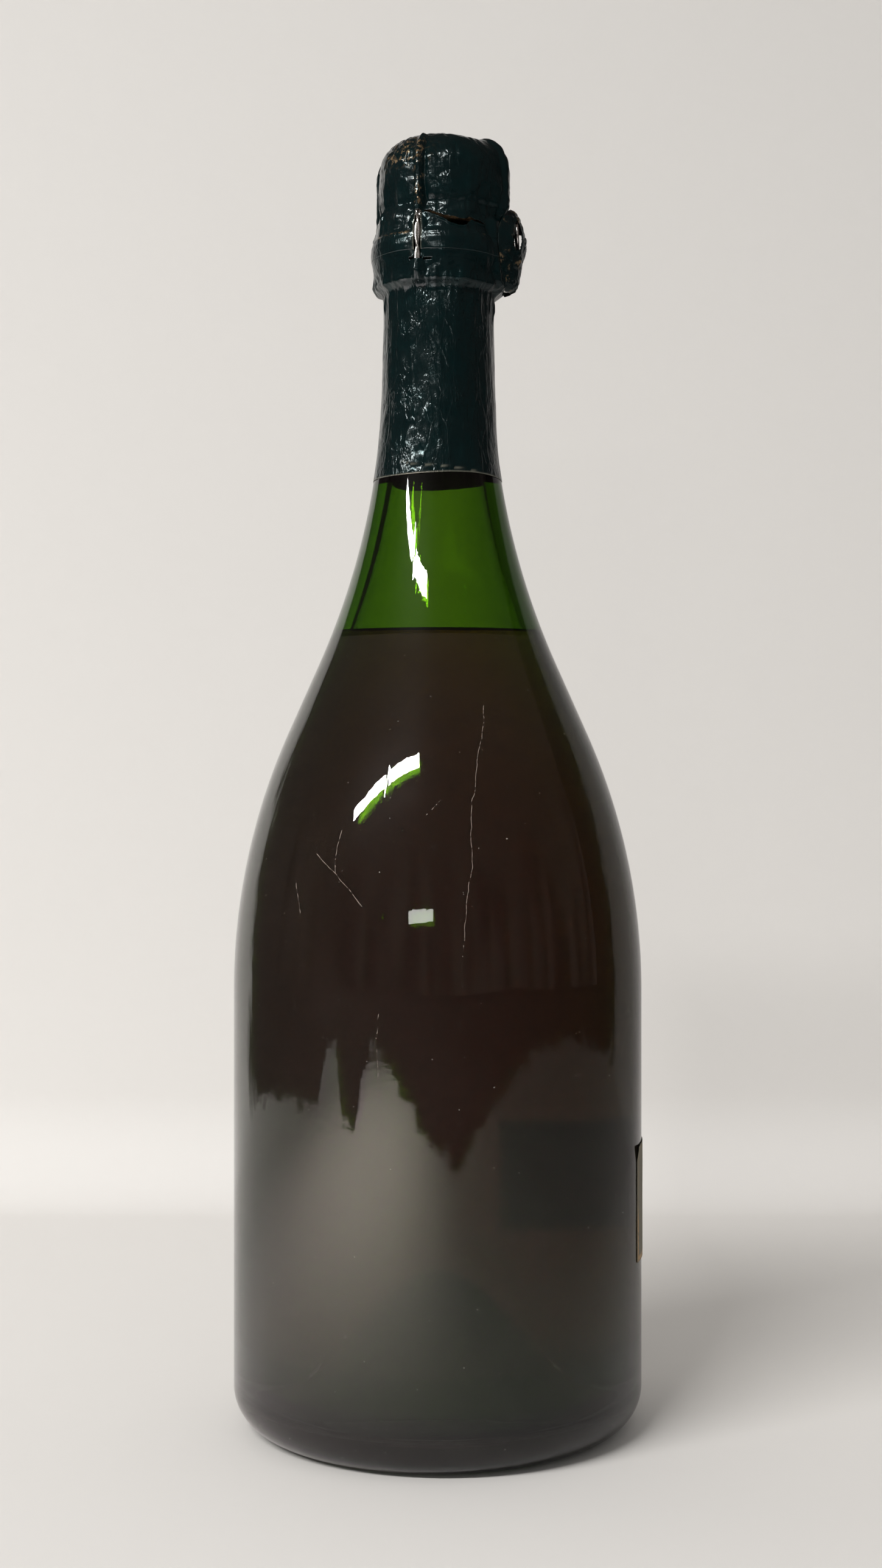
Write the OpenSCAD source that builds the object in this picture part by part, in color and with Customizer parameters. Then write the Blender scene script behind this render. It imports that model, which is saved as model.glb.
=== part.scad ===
// Magnum bottle of sparkling wine, closed, with cork, wire cage, foil and one bare label.
// Origin: centre of the base, on the surface that the bottle stands on. +Z is up, the front faces -Y.

/* [Bottle body] */
// Outer radius of the straight body
body_r = 57.5; // [54:0.5:62]
// Rounding between the base and the body
heel_r = 12; // [9:0.5:15]
// Height at which the shoulder starts to lean in
shoulder_z = 122.5; // [112:0.5:130]
// Radius of the shoulder's outward curve
shoulder_arc_r = 177; // [165:1:190]
// Steepest lean of the shoulder, in degrees from upright
shoulder_lean = 24; // [23:0.5:26]
// Radius of the inward curve that leads into the neck
neck_arc_r = 210; // [195:1:225]
// Thickness of the glass wall
glass_wall = 5.2; // [4:0.1:5.6]

/* [Base hollow] */
// Radius of the hollow under the base
punt_r = 38; // [32:0.5:41]
// Height of the hollow under the base
punt_h = 38; // [20:1:45]
// Thickness of the glass over the hollow
floor_t = 8; // [6:0.5:10]
// Rounding inside the body, where its wall meets the floor
inner_heel_r = 10; // [6:0.5:11]

/* [Neck and mouth] */
// Lean of the neck, in degrees from upright
neck_lean = 1.2; // [0.8:0.1:1.6]
// Outer radius of the neck just below the collar
neck_top_r = 14.9; // [14.6:0.1:15.1]
// Height of the collar's lower edge above the base
collar_z = 321; // [312:1:330]
// Outer radius of the glass collar that holds the cage
collar_r = 17; // [16.9:0.1:18]
// Height of the collar
collar_h = 13; // [11:0.5:15]
// Height of the collar's sloping underside
collar_slope_h = 2.6; // [2.2:0.1:2.9]
// Rounding of the collar's top edge
collar_round = 2.5; // [1.5:0.1:2.8]
// Outer radius of the lip round the mouth
lip_r = 14.2; // [12.5:0.1:14.4]
// Height of the lip above the collar
lip_h = 3; // [2:0.1:4]
// Rounding of the lip's outer edge
lip_round = 1.2; // [0.6:0.1:1.8]
// Radius of the bore that holds the cork
bore_r = 8.95; // [8.5:0.05:9.2]
// Length of the straight bore
bore_l = 34; // [30:1:40]
// Length over which the bore widens into the neck
bore_blend_l = 10; // [6:1:14]

/* [Wine] */
// Height of the wine's surface above the base
wine_z = 222; // [150:1:260]

/* [Cork] */
// Depth of the cork in the bore
cork_l = 25; // [20:0.5:28]
// Thickness of each natural cork disc at its lower end
disc_t = 3.2; // [2.5:0.1:4]
// Radius of the cork's head
head_r = 15.3; // [15:0.1:15.8]
// Height of the cork's head above the mouth
head_h = 21.7; // [19:0.1:24]
// Rounding of the head's top edge
head_top_round = 7; // [6:0.1:7.6]
// Rounding of the head's lower edge
head_low_round = 6; // [4:0.1:6.3]

/* [Wire cage] */
// Thickness of the metal plate on the cork
plate_t = 0.4; // [0.3:0.05:0.6]
// Where the plate's rim lies on the head's rounding, in degrees above level
plate_edge_angle = 52; // [45:1:60]
// Radius of the single wires
wire_r = 0.55; // [0.4:0.05:0.6]
// Radius of the wire that each leg and the loop are twisted from
strand_r = 0.42; // [0.35:0.01:0.46]
// Gap between the two twisted strands of a leg
strand_gap = 0.08; // [0.06:0.01:0.12]
// Length of one full twist of the strands
twist_pitch = 12; // [10:0.5:16]
// Where the top ring lies on the head's rounding, in degrees above level
ring_angle = 72; // [68:1:78]
// Direction of the front leg, in degrees from the front towards the right
front_leg_azimuth = -18; // [-25:1:-10]
// Depth of the belt wire below the collar's lower edge
belt_drop = 0.7; // [0.7:0.1:1.4]
// Overlap of the belt wire's centre under the collar, in from its rim
belt_tuck = 0.2; // [0:0.05:0.25]

/* [Wire loop] */
// Length of the twisted root that leaves the belt
root_l = 2.8; // [2.4:0.1:3.4]
// Length of the twisted stem below the eye
stem_l = 8.6; // [7:0.1:10]
// Outward lean of the folded stem, in degrees
stem_lean = 8; // [4:1:10]
// Inward lean of the folded eye, in degrees
eye_lean = 4; // [0:1:6]
// Radius of the eye, to the middle of its wire
loop_eye_r = 4.1; // [3.6:0.1:4.3]
// Length of the eye's straight sides, from the stem to its round end
loop_taper_l = 6.5; // [5:0.1:7]

/* [Foil] */
// Thickness of the foil
foil_t = 0.25; // [0.15:0.05:0.4]
// Height of the foil's lower edge above the base
foil_z = 267; // [255:1:285]
// Height of the line along which the hood tears off, above the collar's lower edge
tear_h = 6.5; // [5:0.5:9]
// Height over which the foil flares out under the collar
flare_h = 1.7; // [1.4:0.1:2.2]
// Half width of the tent over the wire loop
tent_half_w = 3.8; // [3.6:0.1:4.4]
// Rounding of the tent at its widest
tent_round = 2.2; // [2:0.1:2.6]
// Rounding of the tent at its upper and lower ends
tent_end_round = 1.6; // [1.5:0.1:1.9]

/* [Label] */
// Width of the label along the glass
label_w = 100; // [60:1:150]
// Height of the label
label_h = 32; // [20:1:60]
// Height of its lower edge above the base
label_z = 48.5; // [20:0.5:60]
// Direction of its left edge, in degrees from the front towards the right
label_azimuth = 70; // [0:1:120]
// Thickness of the label
label_t = 0.2; // [0.1:0.05:0.3]

/* [Fits] */
// Gap between the cork and the bore
cork_fit = 0.05; // [0.02:0.01:0.08]
// Gap between surfaces that move past each other
running_gap = 0.3; // [0.3:0.05:0.4]
// Gap between a skin, or the wine, and the glass
skin_gap = 0.05; // [0.02:0.01:0.08]
// Gap between the belt wire and the eyes round it
eye_gap = 0.15; // [0.1:0.05:0.2]

/* [Hidden] */
$fn = 96;
// Overrun of a cut past the face that it opens
overrun = 1;
arc_steps = 16;
leg_count = 4;
// Sides of a bent wire, its sections in one twist and its steps round an eye
strand_sides = 6;
twist_steps = 12;
eye_steps = 12;
// Angle at which a leg's wire enters its eye, and how far it runs round the belt wire
eye_start = -10;
eye_turn = -275;
// Where the tent over the wire loop is widest, as a share of the eye's straight sides
tent_mid_share = 0.7;

// Shoulder and neck: an outward arc, a straight slope and an inward arc, all tangent
shoulder_end_r = body_r - shoulder_arc_r * (1 - cos(shoulder_lean));
shoulder_end_z = shoulder_z + shoulder_arc_r * sin(shoulder_lean);
neck_rise = neck_arc_r * (sin(shoulder_lean) - sin(neck_lean));
neck_pull = neck_arc_r * (cos(neck_lean) - cos(shoulder_lean));
taper_pull = (collar_z - shoulder_end_z - neck_rise) * tan(neck_lean);
slope_l = (shoulder_end_r - neck_pull - taper_pull - neck_top_r)
    / (sin(shoulder_lean) - cos(shoulder_lean) * tan(neck_lean));
neck_centre_r = shoulder_end_r - slope_l * sin(shoulder_lean) + neck_arc_r * cos(shoulder_lean);
neck_centre_z = shoulder_end_z + slope_l * cos(shoulder_lean) + neck_arc_r * sin(shoulder_lean);

// Finish
collar_top_z = collar_z + collar_h;
mouth_z = collar_top_z + lip_h;
bore_end_z = mouth_z - bore_l;
neck_inner_r = neck_top_r - glass_wall / cos(neck_lean)
    + (collar_z - bore_end_z + bore_blend_l) * tan(neck_lean);

// Cork, plate, wires and hood lie round one centre of rounding, each outside the last
cork_r = bore_r - cork_fit;
head_low_z = mouth_z + running_gap;
head_top_z = mouth_z + head_h + running_gap;
round_r = head_r - head_top_round;
round_z = head_top_z - head_top_round;
plate_in = head_top_round + running_gap;
plate_out = plate_in + plate_t;
ring_reach = plate_out + skin_gap + wire_r;
strand_off = strand_r + strand_gap / 2;
leg_r = strand_off + strand_r;
leg_gap = leg_r / 4;
wire_step = twist_pitch / twist_steps;
leg_reach = plate_out + leg_gap + leg_r;
// The legs start just past the ring, which they are wrapped on
leg_start_angle = ring_angle - asin((wire_r + leg_r + eye_gap) / leg_reach);
hood_reach = leg_reach + leg_r + running_gap;

// Cage below the head
leg_side_r = round_r + leg_reach;
leg_collar_r = collar_r + running_gap + leg_r;
leg_waist_h = 4 * leg_r;
belt_r = collar_r - belt_tuck;
belt_z = collar_z - belt_drop;
eye_r = wire_r + eye_gap + strand_r;

// Wire loop, on the right of the bottle
root_start = belt_r + wire_r + running_gap;
root_end = root_start + root_l;
root_slot_r = leg_r + running_gap;
fold_x = root_end + running_gap + leg_r;
stem_end_x = fold_x + stem_l * tan(stem_lean);
stem_end_z = belt_z + stem_l;
loop_top_z = stem_end_z + loop_taper_l + loop_eye_r;
// Angle at which the eye's straight sides leave the stem
side_lean = asin(loop_eye_r / norm([loop_taper_l, strand_off])) - atan2(strand_off, loop_taper_l);

// Foil
skirt_r = leg_collar_r + leg_r + running_gap;
eye_clear_r = belt_r + eye_r + strand_r + running_gap;
flare_z = belt_z - eye_r - strand_r - flare_h + running_gap;
tear_z = collar_z + tear_h;
dome_z = collar_top_z + leg_waist_h;
tent_mid_z = stem_end_z + tent_mid_share * loop_taper_l;
tent_top_z = loop_top_z + strand_r;
tent_back_x = skirt_r + foil_t + running_gap;

// Label
label_angle = 360 * label_w / (2 * PI * body_r);

glass_colour = [0.07, 0.16, 0.04];
wine_colour = [0.55, 0.42, 0.12];
paper_colour = [0.30, 0.29, 0.25];
foil_colour = [0.05, 0.16, 0.19];
cork_colour = [0.72, 0.55, 0.36];
disc_colour = [0.80, 0.64, 0.44];
plate_colour = [0.10, 0.20, 0.22];
wire_colour = [0.75, 0.75, 0.72];

// Points on an arc round (cr, cz), from angle a0 to a1
function arc(cr, cz, r, a0, a1) =
    [for (i = [0:arc_steps])
        let (a = a0 + (a1 - a0) * i / arc_steps) [cr + r * cos(a), cz + r * sin(a)]];

// Side of the bottle from the body to the collar, moved inwards by w
function side(w) = concat(
    arc(body_r - shoulder_arc_r, shoulder_z, shoulder_arc_r - w, 0, shoulder_lean),
    arc(neck_centre_r, neck_centre_z, neck_arc_r + w, 180 + shoulder_lean, 180 + neck_lean),
    [[neck_top_r - w / cos(neck_lean), collar_z]]);

// Height of the hollow under the base, at a share of its radius
function punt_rise(share) = punt_h * (1 + cos(180 * share)) / 2;

module at_azimuth(azimuth) rotate([0, 0, azimuth - 90]) children();

module punt_form(lift) {
    rotate_extrude()
        polygon(concat(
            [for (i = [0:arc_steps])
                let (share = i / arc_steps) [punt_r * share, lift + punt_rise(share)]],
            [[punt_r, lift - overrun], [0, lift - overrun]]));
}

// The space inside the bottle, kept clear of the glass by gap
module inner_space(gap) {
    wall = glass_wall + gap;
    floor_z = floor_t + gap;
    difference() {
        rotate_extrude()
            polygon(concat(
                [[0, floor_z]],
                arc(body_r - wall - inner_heel_r, floor_z + inner_heel_r, inner_heel_r, -90, 0),
                [for (p = side(wall)) if (p[1] < bore_end_z - bore_blend_l) p],
                [[neck_inner_r - gap, bore_end_z - bore_blend_l],
                    [bore_r - gap, bore_end_z], [bore_r - gap, mouth_z + overrun],
                    [0, mouth_z + overrun]]));
        punt_form(floor_z);
    }
}

module glass_bottle() {
    color(glass_colour)
    difference() {
        rotate_extrude()
            polygon(concat(
                [[0, 0]],
                arc(body_r - heel_r, heel_r, heel_r, -90, 0),
                side(0),
                [[collar_r, collar_z + collar_slope_h]],
                arc(collar_r - collar_round, collar_top_z - collar_round, collar_round, 0, 90),
                [[lip_r, collar_top_z]],
                arc(lip_r - lip_round, mouth_z - lip_round, lip_round, 0, 90),
                [[0, mouth_z]]));
        punt_form(0);
        inner_space(0);
    }
}

module wine() {
    color(wine_colour)
    intersection() {
        inner_space(skin_gap);
        cylinder(h = wine_z, r = body_r);
    }
}

module label() {
    color(paper_colour)
    at_azimuth(label_azimuth)
        rotate_extrude(angle = label_angle)
            translate([body_r + skin_gap, label_z])
                square([label_t, label_h]);
}

// The foil round the neck and under the collar, as a solid grown by grow over its inner face
module neck_foil_form(grow) {
    skin = skin_gap + grow;
    rotate_extrude()
        polygon(concat(
            [for (p = side(-skin)) if (p[1] > foil_z - glass_wall && p[1] < flare_z - overrun) p],
            [[neck_top_r + skin + (collar_z - flare_z) * tan(neck_lean), flare_z],
                [eye_clear_r + grow, flare_z + flare_h],
                [skirt_r + grow, belt_z + wire_r],
                [skirt_r + grow, tear_z + overrun],
                [0, tear_z + overrun],
                [0, foil_z - glass_wall]]));
}

module neck_foil() {
    color(foil_colour)
    difference() {
        intersection() {
            neck_foil_form(foil_t);
            translate([0, 0, foil_z])
                cylinder(h = tear_z - running_gap - foil_z, r = 2 * skirt_r);
        }
        neck_foil_form(0);
        translate([root_start - overrun, -root_slot_r, belt_z - root_slot_r])
            cube([root_l + 2 * overrun, 2 * root_slot_r, tear_h + 2 * root_slot_r + belt_drop]);
    }
}

module cork_body() {
    color(cork_colour)
    rotate_extrude()
        polygon(concat(
            [[0, mouth_z - cork_l + 2 * disc_t], [cork_r, mouth_z - cork_l + 2 * disc_t],
                [cork_r, head_low_z]],
            arc(head_r - head_low_round, head_low_z + head_low_round, head_low_round, -90, 0),
            arc(round_r, round_z, head_top_round, 0, 90),
            [[0, head_top_z]]));
}

// The two discs lie face to face under the shank, the lower one on the wine's side
module cork_disc(place) {
    color(disc_colour)
    translate([0, 0, mouth_z - cork_l + place * disc_t])
        cylinder(h = disc_t, r = cork_r);
}

module cork_disc_upper() cork_disc(1);

module cork_disc_lower() cork_disc(0);

module cap_plate() {
    color(plate_colour)
    rotate_extrude()
        polygon(concat(
            arc(round_r, round_z, plate_out, plate_edge_angle, 90),
            [[0, round_z + plate_out], [0, round_z + plate_in]],
            arc(round_r, round_z, plate_in, 90, plate_edge_angle)));
}

module cage_top_ring() {
    color(wire_colour)
    rotate_extrude()
        translate([round_r + ring_reach * cos(ring_angle), round_z + ring_reach * sin(ring_angle)])
            circle(r = wire_r, $fn = 24);
}

function unit(v) = v / norm(v);

function flat(p) = [p[0], p[1]];

// Points every wire_step from a to b, without a
function line(a, b) =
    let (n = max(1, round(norm(b - a) / wire_step))) [for (i = [1:n]) a + (b - a) * i / n];

// Points every wire_step round an arc, without its first one
function stepped_arc(cr, cz, r, a0, a1) =
    let (n = max(2, round(abs(a1 - a0) * PI / 180 * r / wire_step)))
    [for (i = [1:n]) let (a = a0 + (a1 - a0) * i / n) [cr + r * cos(a), cz + r * sin(a)]];

// Way along a flat path at point i, and the direction square to it in the path's plane
function heading(p, i) = unit(flat(p[min(i + 1, len(p) - 1)]) - flat(p[max(i - 1, 0)]));

function across(p, i) = let (h = heading(p, i)) [h[1], -h[0]];

// One of two strands twisted round a flat path, side by side in its plane where the path ends
function strand(path, side_sign) =
    [for (i = [0:len(path) - 1])
        let (turn = 360 * (len(path) - 1 - i) / twist_steps,
            out = path[i] + side_sign * strand_off * cos(turn) * across(path, i))
        [out[0], out[1], side_sign * strand_off * sin(turn)]];

function backwards(list) = [for (i = [len(list) - 1:-1:0]) list[i]];

// A bent wire along points [along X, along Z, aside along Y]
module wire(points) {
    n = strand_sides;
    last = len(points) - 1;
    rings = [for (i = [0:last], j = [0:n - 1])
        let (a = 360 * j / n, u = across(points, i))
        [points[i][0] + strand_r * cos(a) * u[0],
            points[i][2] + strand_r * sin(a),
            points[i][1] + strand_r * cos(a) * u[1]]];
    sides = [for (i = [0:last - 1], j = [0:n - 1])
        let (k = (j + 1) % n, low = i * n, high = low + n)
        each [[low + j, low + k, high + k], [low + j, high + k, high + j]]];
    ends = [for (j = [1:n - 2]) each [[0, j + 1, j], [last * n, last * n + j, last * n + j + 1]]];
    polyhedron(points = rings, faces = concat(sides, ends));
}

// One leg is one wire: from the top ring over the head, down past the collar, round the belt
// wire and back up, twisted with itself
module cage_leg(place) {
    start = [round_r + leg_reach * cos(leg_start_angle), round_z + leg_reach * sin(leg_start_angle)];
    head_arc = concat([start], stepped_arc(round_r, round_z, leg_reach, leg_start_angle, 0));
    side_end = [leg_side_r, dome_z];
    collar_start = [leg_collar_r, collar_top_z + leg_r];
    foot = [leg_collar_r, collar_z + collar_slope_h / 2];
    path = concat(head_arc, line([leg_side_r, round_z], side_end), line(side_end, collar_start),
        line(collar_start, foot));
    eye = [for (i = [0:eye_steps])
        let (a = eye_start + eye_turn * i / eye_steps)
        [belt_r + eye_r * cos(a), belt_z + eye_r * sin(a), 0]];
    color(wire_colour)
    at_azimuth(front_leg_azimuth + 360 * place / leg_count)
        wire(concat(strand(path, -1), eye, backwards(strand(path, 1))));
}

module cage_leg_front() cage_leg(0);

module cage_leg_right() cage_leg(1);

module cage_leg_back() cage_leg(2);

module cage_leg_left() cage_leg(3);

module belt_wire() {
    color(wire_colour)
    translate([0, 0, belt_z])
        rotate_extrude() translate([belt_r, 0]) circle(r = wire_r, $fn = 24);
}

module loop_root() {
    color(wire_colour)
    translate([root_start, 0, belt_z])
        rotate([0, 90, 0]) cylinder(h = root_l, r = leg_r);
}

// Stem and eye, folded up against the collar: one wire up the stem, round the eye and back down
module wire_loop() {
    stem = concat([[0, 0]], line([0, 0], [0, stem_l]));
    centre_z = stem_l + loop_taper_l;
    side_start = [strand_off, stem_l];
    side_end = [loop_eye_r * cos(side_lean), centre_z - loop_eye_r * sin(side_lean)];
    right = line(side_start, side_end);
    round_end = stepped_arc(0, centre_z, loop_eye_r, -side_lean, 180 + side_lean);
    left = backwards([for (p = right) [-p[0], p[1]]]);
    eye = [for (p = concat(right, round_end, [for (i = [1:len(left) - 1]) left[i]]))
        [p[0], p[1], 0]];
    path = concat(strand(stem, 1), eye, backwards(strand(stem, -1)));
    leaned = [for (p = path)
        [p[0], p[1], p[2] - min(p[1], stem_l) * tan(stem_lean)
            + max(p[1] - stem_l, 0) * tan(eye_lean)]];
    color(wire_colour)
    translate([fold_x, 0, belt_z]) rotate([0, 0, 90]) wire(leaned);
}

module foil_hood_form(grow, low_z) {
    rotate_extrude()
        polygon(concat(
            [[0, low_z], [skirt_r + grow, low_z], [skirt_r + grow, collar_top_z + leg_r],
                [round_r + hood_reach + grow, dome_z]],
            arc(round_r, round_z, hood_reach + grow, 0, 90),
            [[0, round_z + hood_reach + grow]]));
}

module foil_hood() {
    color(foil_colour)
    difference() {
        foil_hood_form(foil_t, tear_z);
        foil_hood_form(0, tear_z - overrun);
    }
}

// Tent over the folded loop, as a solid smaller by inset all round
module tent_form(inset) {
    ends = tent_end_round - inset;
    middle = tent_round - inset;
    hull() {
        for (x = [fold_x, fold_x - 2 * tent_round])
            translate([x, 0, belt_z]) sphere(r = ends, $fn = 32);
        for (y = [-tent_half_w, tent_half_w], x = [stem_end_x, stem_end_x - 2 * tent_round])
            translate([x, y, tent_mid_z]) sphere(r = middle, $fn = 32);
        for (y = [-tent_half_w / 2, tent_half_w / 2], x = [fold_x, fold_x - 2 * tent_round])
            translate([x, y, tent_top_z]) sphere(r = ends, $fn = 32);
    }
}

// The tent is open towards the bottle, and has a slot below that passes the root as the loop folds
module foil_tab() {
    reach = 4 * loop_eye_r + stem_l + tear_h;
    color(foil_colour)
    intersection() {
        difference() {
            tent_form(0);
            tent_form(foil_t);
            translate([root_start, -root_slot_r, belt_z - reach])
                cube([fold_x + root_slot_r - root_start, 2 * root_slot_r, reach + root_slot_r]);
        }
        translate([tent_back_x, -reach, belt_z - reach]) cube([reach, 2 * reach, 2 * reach]);
    }
}

glass_bottle();
wine();
label();
neck_foil();
cork_body();
cork_disc_upper();
cork_disc_lower();
cap_plate();
cage_top_ring();
cage_leg_front();
cage_leg_right();
cage_leg_back();
cage_leg_left();
belt_wire();
loop_root();
wire_loop();
foil_hood();
foil_tab();
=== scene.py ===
"""Looks of a closed magnum of sparkling wine: dark green glass with wine in it, crinkled foil
over the cork and its wire cage, and a bare paper label. Lengths here are in millimetres, turned
to metres where a mesh is made. Azimuths run in degrees from the front (-Y) towards the right (+X)."""
import math

import bpy
import numpy as np
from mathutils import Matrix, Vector, noise


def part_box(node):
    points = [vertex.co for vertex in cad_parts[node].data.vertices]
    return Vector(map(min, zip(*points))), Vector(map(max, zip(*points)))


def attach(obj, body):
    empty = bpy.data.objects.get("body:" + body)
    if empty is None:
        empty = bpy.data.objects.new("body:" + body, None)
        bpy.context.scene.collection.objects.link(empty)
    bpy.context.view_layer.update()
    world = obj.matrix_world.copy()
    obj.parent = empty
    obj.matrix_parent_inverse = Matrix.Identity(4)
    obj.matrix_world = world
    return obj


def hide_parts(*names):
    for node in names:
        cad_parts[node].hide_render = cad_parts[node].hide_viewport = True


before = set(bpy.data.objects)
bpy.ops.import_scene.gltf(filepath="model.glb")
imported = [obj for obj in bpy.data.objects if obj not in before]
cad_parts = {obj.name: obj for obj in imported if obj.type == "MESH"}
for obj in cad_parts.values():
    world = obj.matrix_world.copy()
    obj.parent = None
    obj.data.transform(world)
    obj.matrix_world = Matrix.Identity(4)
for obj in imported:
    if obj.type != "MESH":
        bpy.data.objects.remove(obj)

MM = 0.001
# Blender draws the seed of its noise vectors from the clock unless one is set
NOISE_SEED = 12
noise.seed_set(NOISE_SEED)
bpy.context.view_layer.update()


def highest(node):
    """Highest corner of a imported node, in millimetres."""
    return np.array(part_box(node)[1]) / MM


def lowest(node):
    """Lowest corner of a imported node, in millimetres."""
    return np.array(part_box(node)[0]) / MM


# Glass bottle
BODY_R = highest("glass_bottle")[0]
MOUTH_Z = highest("glass_bottle")[2]
HEEL_R = 12
SHOULDER_Z = 122.5
SHOULDER_ARC_R = 177
SHOULDER_LEAN = 24
NECK_ARC_R = 210
NECK_LEAN = 1.2
NECK_TOP_R = 14.9
GLASS_WALL = 5.2
PUNT_R = 38
PUNT_H = 38
FLOOR_T = 8
INNER_HEEL_R = 10
LIP_R = 14.2
LIP_H = 3
LIP_ROUND = 1.2
COLLAR_H = 13
COLLAR_TOP_Z = MOUTH_Z - LIP_H
COLLAR_Z = COLLAR_TOP_Z - COLLAR_H
COLLAR_R = 17
COLLAR_SLOPE_H = 2.6
COLLAR_ROUND = 2.5
BORE_R = 8.95
BORE_END_Z = MOUTH_Z - 34
BORE_BLEND_L = 10
SEAM_AZIMUTH = -16
FILM_GAP = 0.03

# Wine, which overlaps the glass a little so that light passes from one into the other
WINE_Z = highest("wine")[2]
WINE_OVERLAP = 0.08
MENISCUS_H = 1.3
MENISCUS_REACH = 1.6

# Wire cage
STRAND_R = 0.42
STRAND_OFF = 0.46
LEG_R = STRAND_OFF + STRAND_R
TWIST_PITCH = 14
PATH_STEP = 0.35
ROUND_R = 8.3
ROUND_Z = 352
LEG_REACH = 8.8
LEG_START_ANGLE = 61.6
LEG_COLLAR_R = COLLAR_R + 0.3 + LEG_R
LEG_WAIST_H = 4 * LEG_R
LEG_AZIMUTHS = {"cage_leg_front": -18, "cage_leg_right": 72, "cage_leg_back": 162, "cage_leg_left": 252}
WIRE_R = 0.55
RING_REACH = 8.3
RING_ANGLE = 72
BELT_R = 16.8
BELT_Z = COLLAR_Z - 0.7
EYE_R = WIRE_R + 0.15 + STRAND_R
EYE_TURN = (-10, -285)
ROOT_START = lowest("loop_root")[0]
ROOT_END = highest("loop_root")[0]
FOLD_X = ROOT_END + 0.3 + LEG_R
STEM_L = 8.6
STEM_LEAN = 8
EYE_LEAN = 4
LOOP_EYE_R = 4.1
LOOP_TAPER_L = 6.5
LOOP_AZIMUTH = 90

# Foil
FOIL_T = 0.06
TEAR_Z = lowest("foil_hood")[2]
FOIL_LOW_Z = lowest("neck_foil")[2]
FRONT_LEG = LEG_AZIMUTHS["cage_leg_front"]


# Outlines as rows of [radius, height]
def arc(centre_r, centre_z, radius, start, end, steps=20):
    angles = np.radians(np.linspace(start, end, steps + 1))
    return np.column_stack([centre_r + radius * np.cos(angles), centre_z + radius * np.sin(angles)])


def shoulder_and_neck(inset):
    """Side of the bottle from the body to the collar, moved inwards by inset: an outward arc,
    a straight slope and an inward arc, all tangent."""
    lean, neck_lean = math.radians(SHOULDER_LEAN), math.radians(NECK_LEAN)
    slope_start_r = BODY_R - SHOULDER_ARC_R * (1 - math.cos(lean))
    slope_start_z = SHOULDER_Z + SHOULDER_ARC_R * math.sin(lean)
    rise = NECK_ARC_R * (math.sin(lean) - math.sin(neck_lean))
    pull = NECK_ARC_R * (math.cos(neck_lean) - math.cos(lean))
    taper = (COLLAR_Z - slope_start_z - rise) * math.tan(neck_lean)
    slope_l = (slope_start_r - pull - taper - NECK_TOP_R) / (
        math.sin(lean) - math.cos(lean) * math.tan(neck_lean))
    centre_r = slope_start_r - slope_l * math.sin(lean) + NECK_ARC_R * math.cos(lean)
    centre_z = slope_start_z + slope_l * math.cos(lean) + NECK_ARC_R * math.sin(lean)
    return np.vstack([
        arc(BODY_R - SHOULDER_ARC_R, SHOULDER_Z, SHOULDER_ARC_R - inset, 0, SHOULDER_LEAN, 48),
        arc(centre_r, centre_z, NECK_ARC_R + inset, 180 + SHOULDER_LEAN, 180 + NECK_LEAN, 56),
        [[NECK_TOP_R - inset / math.cos(neck_lean), COLLAR_Z]]])


def hollow(lift):
    """The rounded hollow under the base, from its middle to its foot, lifted by lift."""
    share = np.linspace(0, 1, 33)
    return np.column_stack([PUNT_R * share, lift + PUNT_H * (1 + np.cos(np.pi * share)) / 2])


def inner_side(inset):
    """Inside of the bottle from the middle of its floor up to the neck."""
    wall_r = BODY_R - inset
    side = shoulder_and_neck(inset)
    floor_z = FLOOR_T + inset - GLASS_WALL
    return np.vstack([
        hollow(floor_z),
        arc(wall_r - INNER_HEEL_R, floor_z + INNER_HEEL_R, INNER_HEEL_R, -90, 0),
        side[side[:, 1] < BORE_END_Z - BORE_BLEND_L]])


def glass_outline():
    """Outline of the glass, from the axis under the hollow, round outside and back inside."""
    outside = np.vstack([
        hollow(0),
        arc(BODY_R - HEEL_R, HEEL_R, HEEL_R, -90, 0),
        shoulder_and_neck(0),
        [[COLLAR_R, COLLAR_Z + COLLAR_SLOPE_H]],
        arc(COLLAR_R - COLLAR_ROUND, COLLAR_TOP_Z - COLLAR_ROUND, COLLAR_ROUND, 0, 90, 8),
        arc(LIP_R - LIP_ROUND, MOUTH_Z - LIP_ROUND, LIP_ROUND, 0, 90, 6)])
    bore = [[BORE_R, MOUTH_Z], [BORE_R, BORE_END_Z]]
    return np.vstack([outside, bore, inner_side(GLASS_WALL)[::-1]])


def film_outline():
    """Side of the body, just outside the glass, from the heel up to the wine's surface."""
    side = shoulder_and_neck(-FILM_GAP)
    side = side[side[:, 1] < WINE_Z]
    return np.vstack([arc(BODY_R - HEEL_R, HEEL_R, HEEL_R + FILM_GAP, -35, 0, 8)[:-1], side])


def wine_outline():
    """Outline of the wine, whose surface climbs the glass a little."""
    side = inner_side(GLASS_WALL - WINE_OVERLAP)
    wall = shoulder_and_neck(GLASS_WALL - WINE_OVERLAP)
    wall_r = np.interp(WINE_Z, wall[:, 1], wall[:, 0])
    side = side[side[:, 1] < WINE_Z]
    radii = wall_r - np.array([0, 0.3, 0.7, 1.2, 1.8, 2.6, 3.6, 5, 8, 14, wall_r])
    climb = MENISCUS_H * np.exp((radii - wall_r) / MENISCUS_REACH)
    return np.vstack([side, np.column_stack([radii, WINE_Z + climb - MENISCUS_H])])


# Meshes
def radial(azimuth):
    """Directions away from the bottle's axis."""
    angle = np.radians(azimuth)
    return np.stack([np.sin(angle), -np.cos(angle)], axis=-1)


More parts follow.
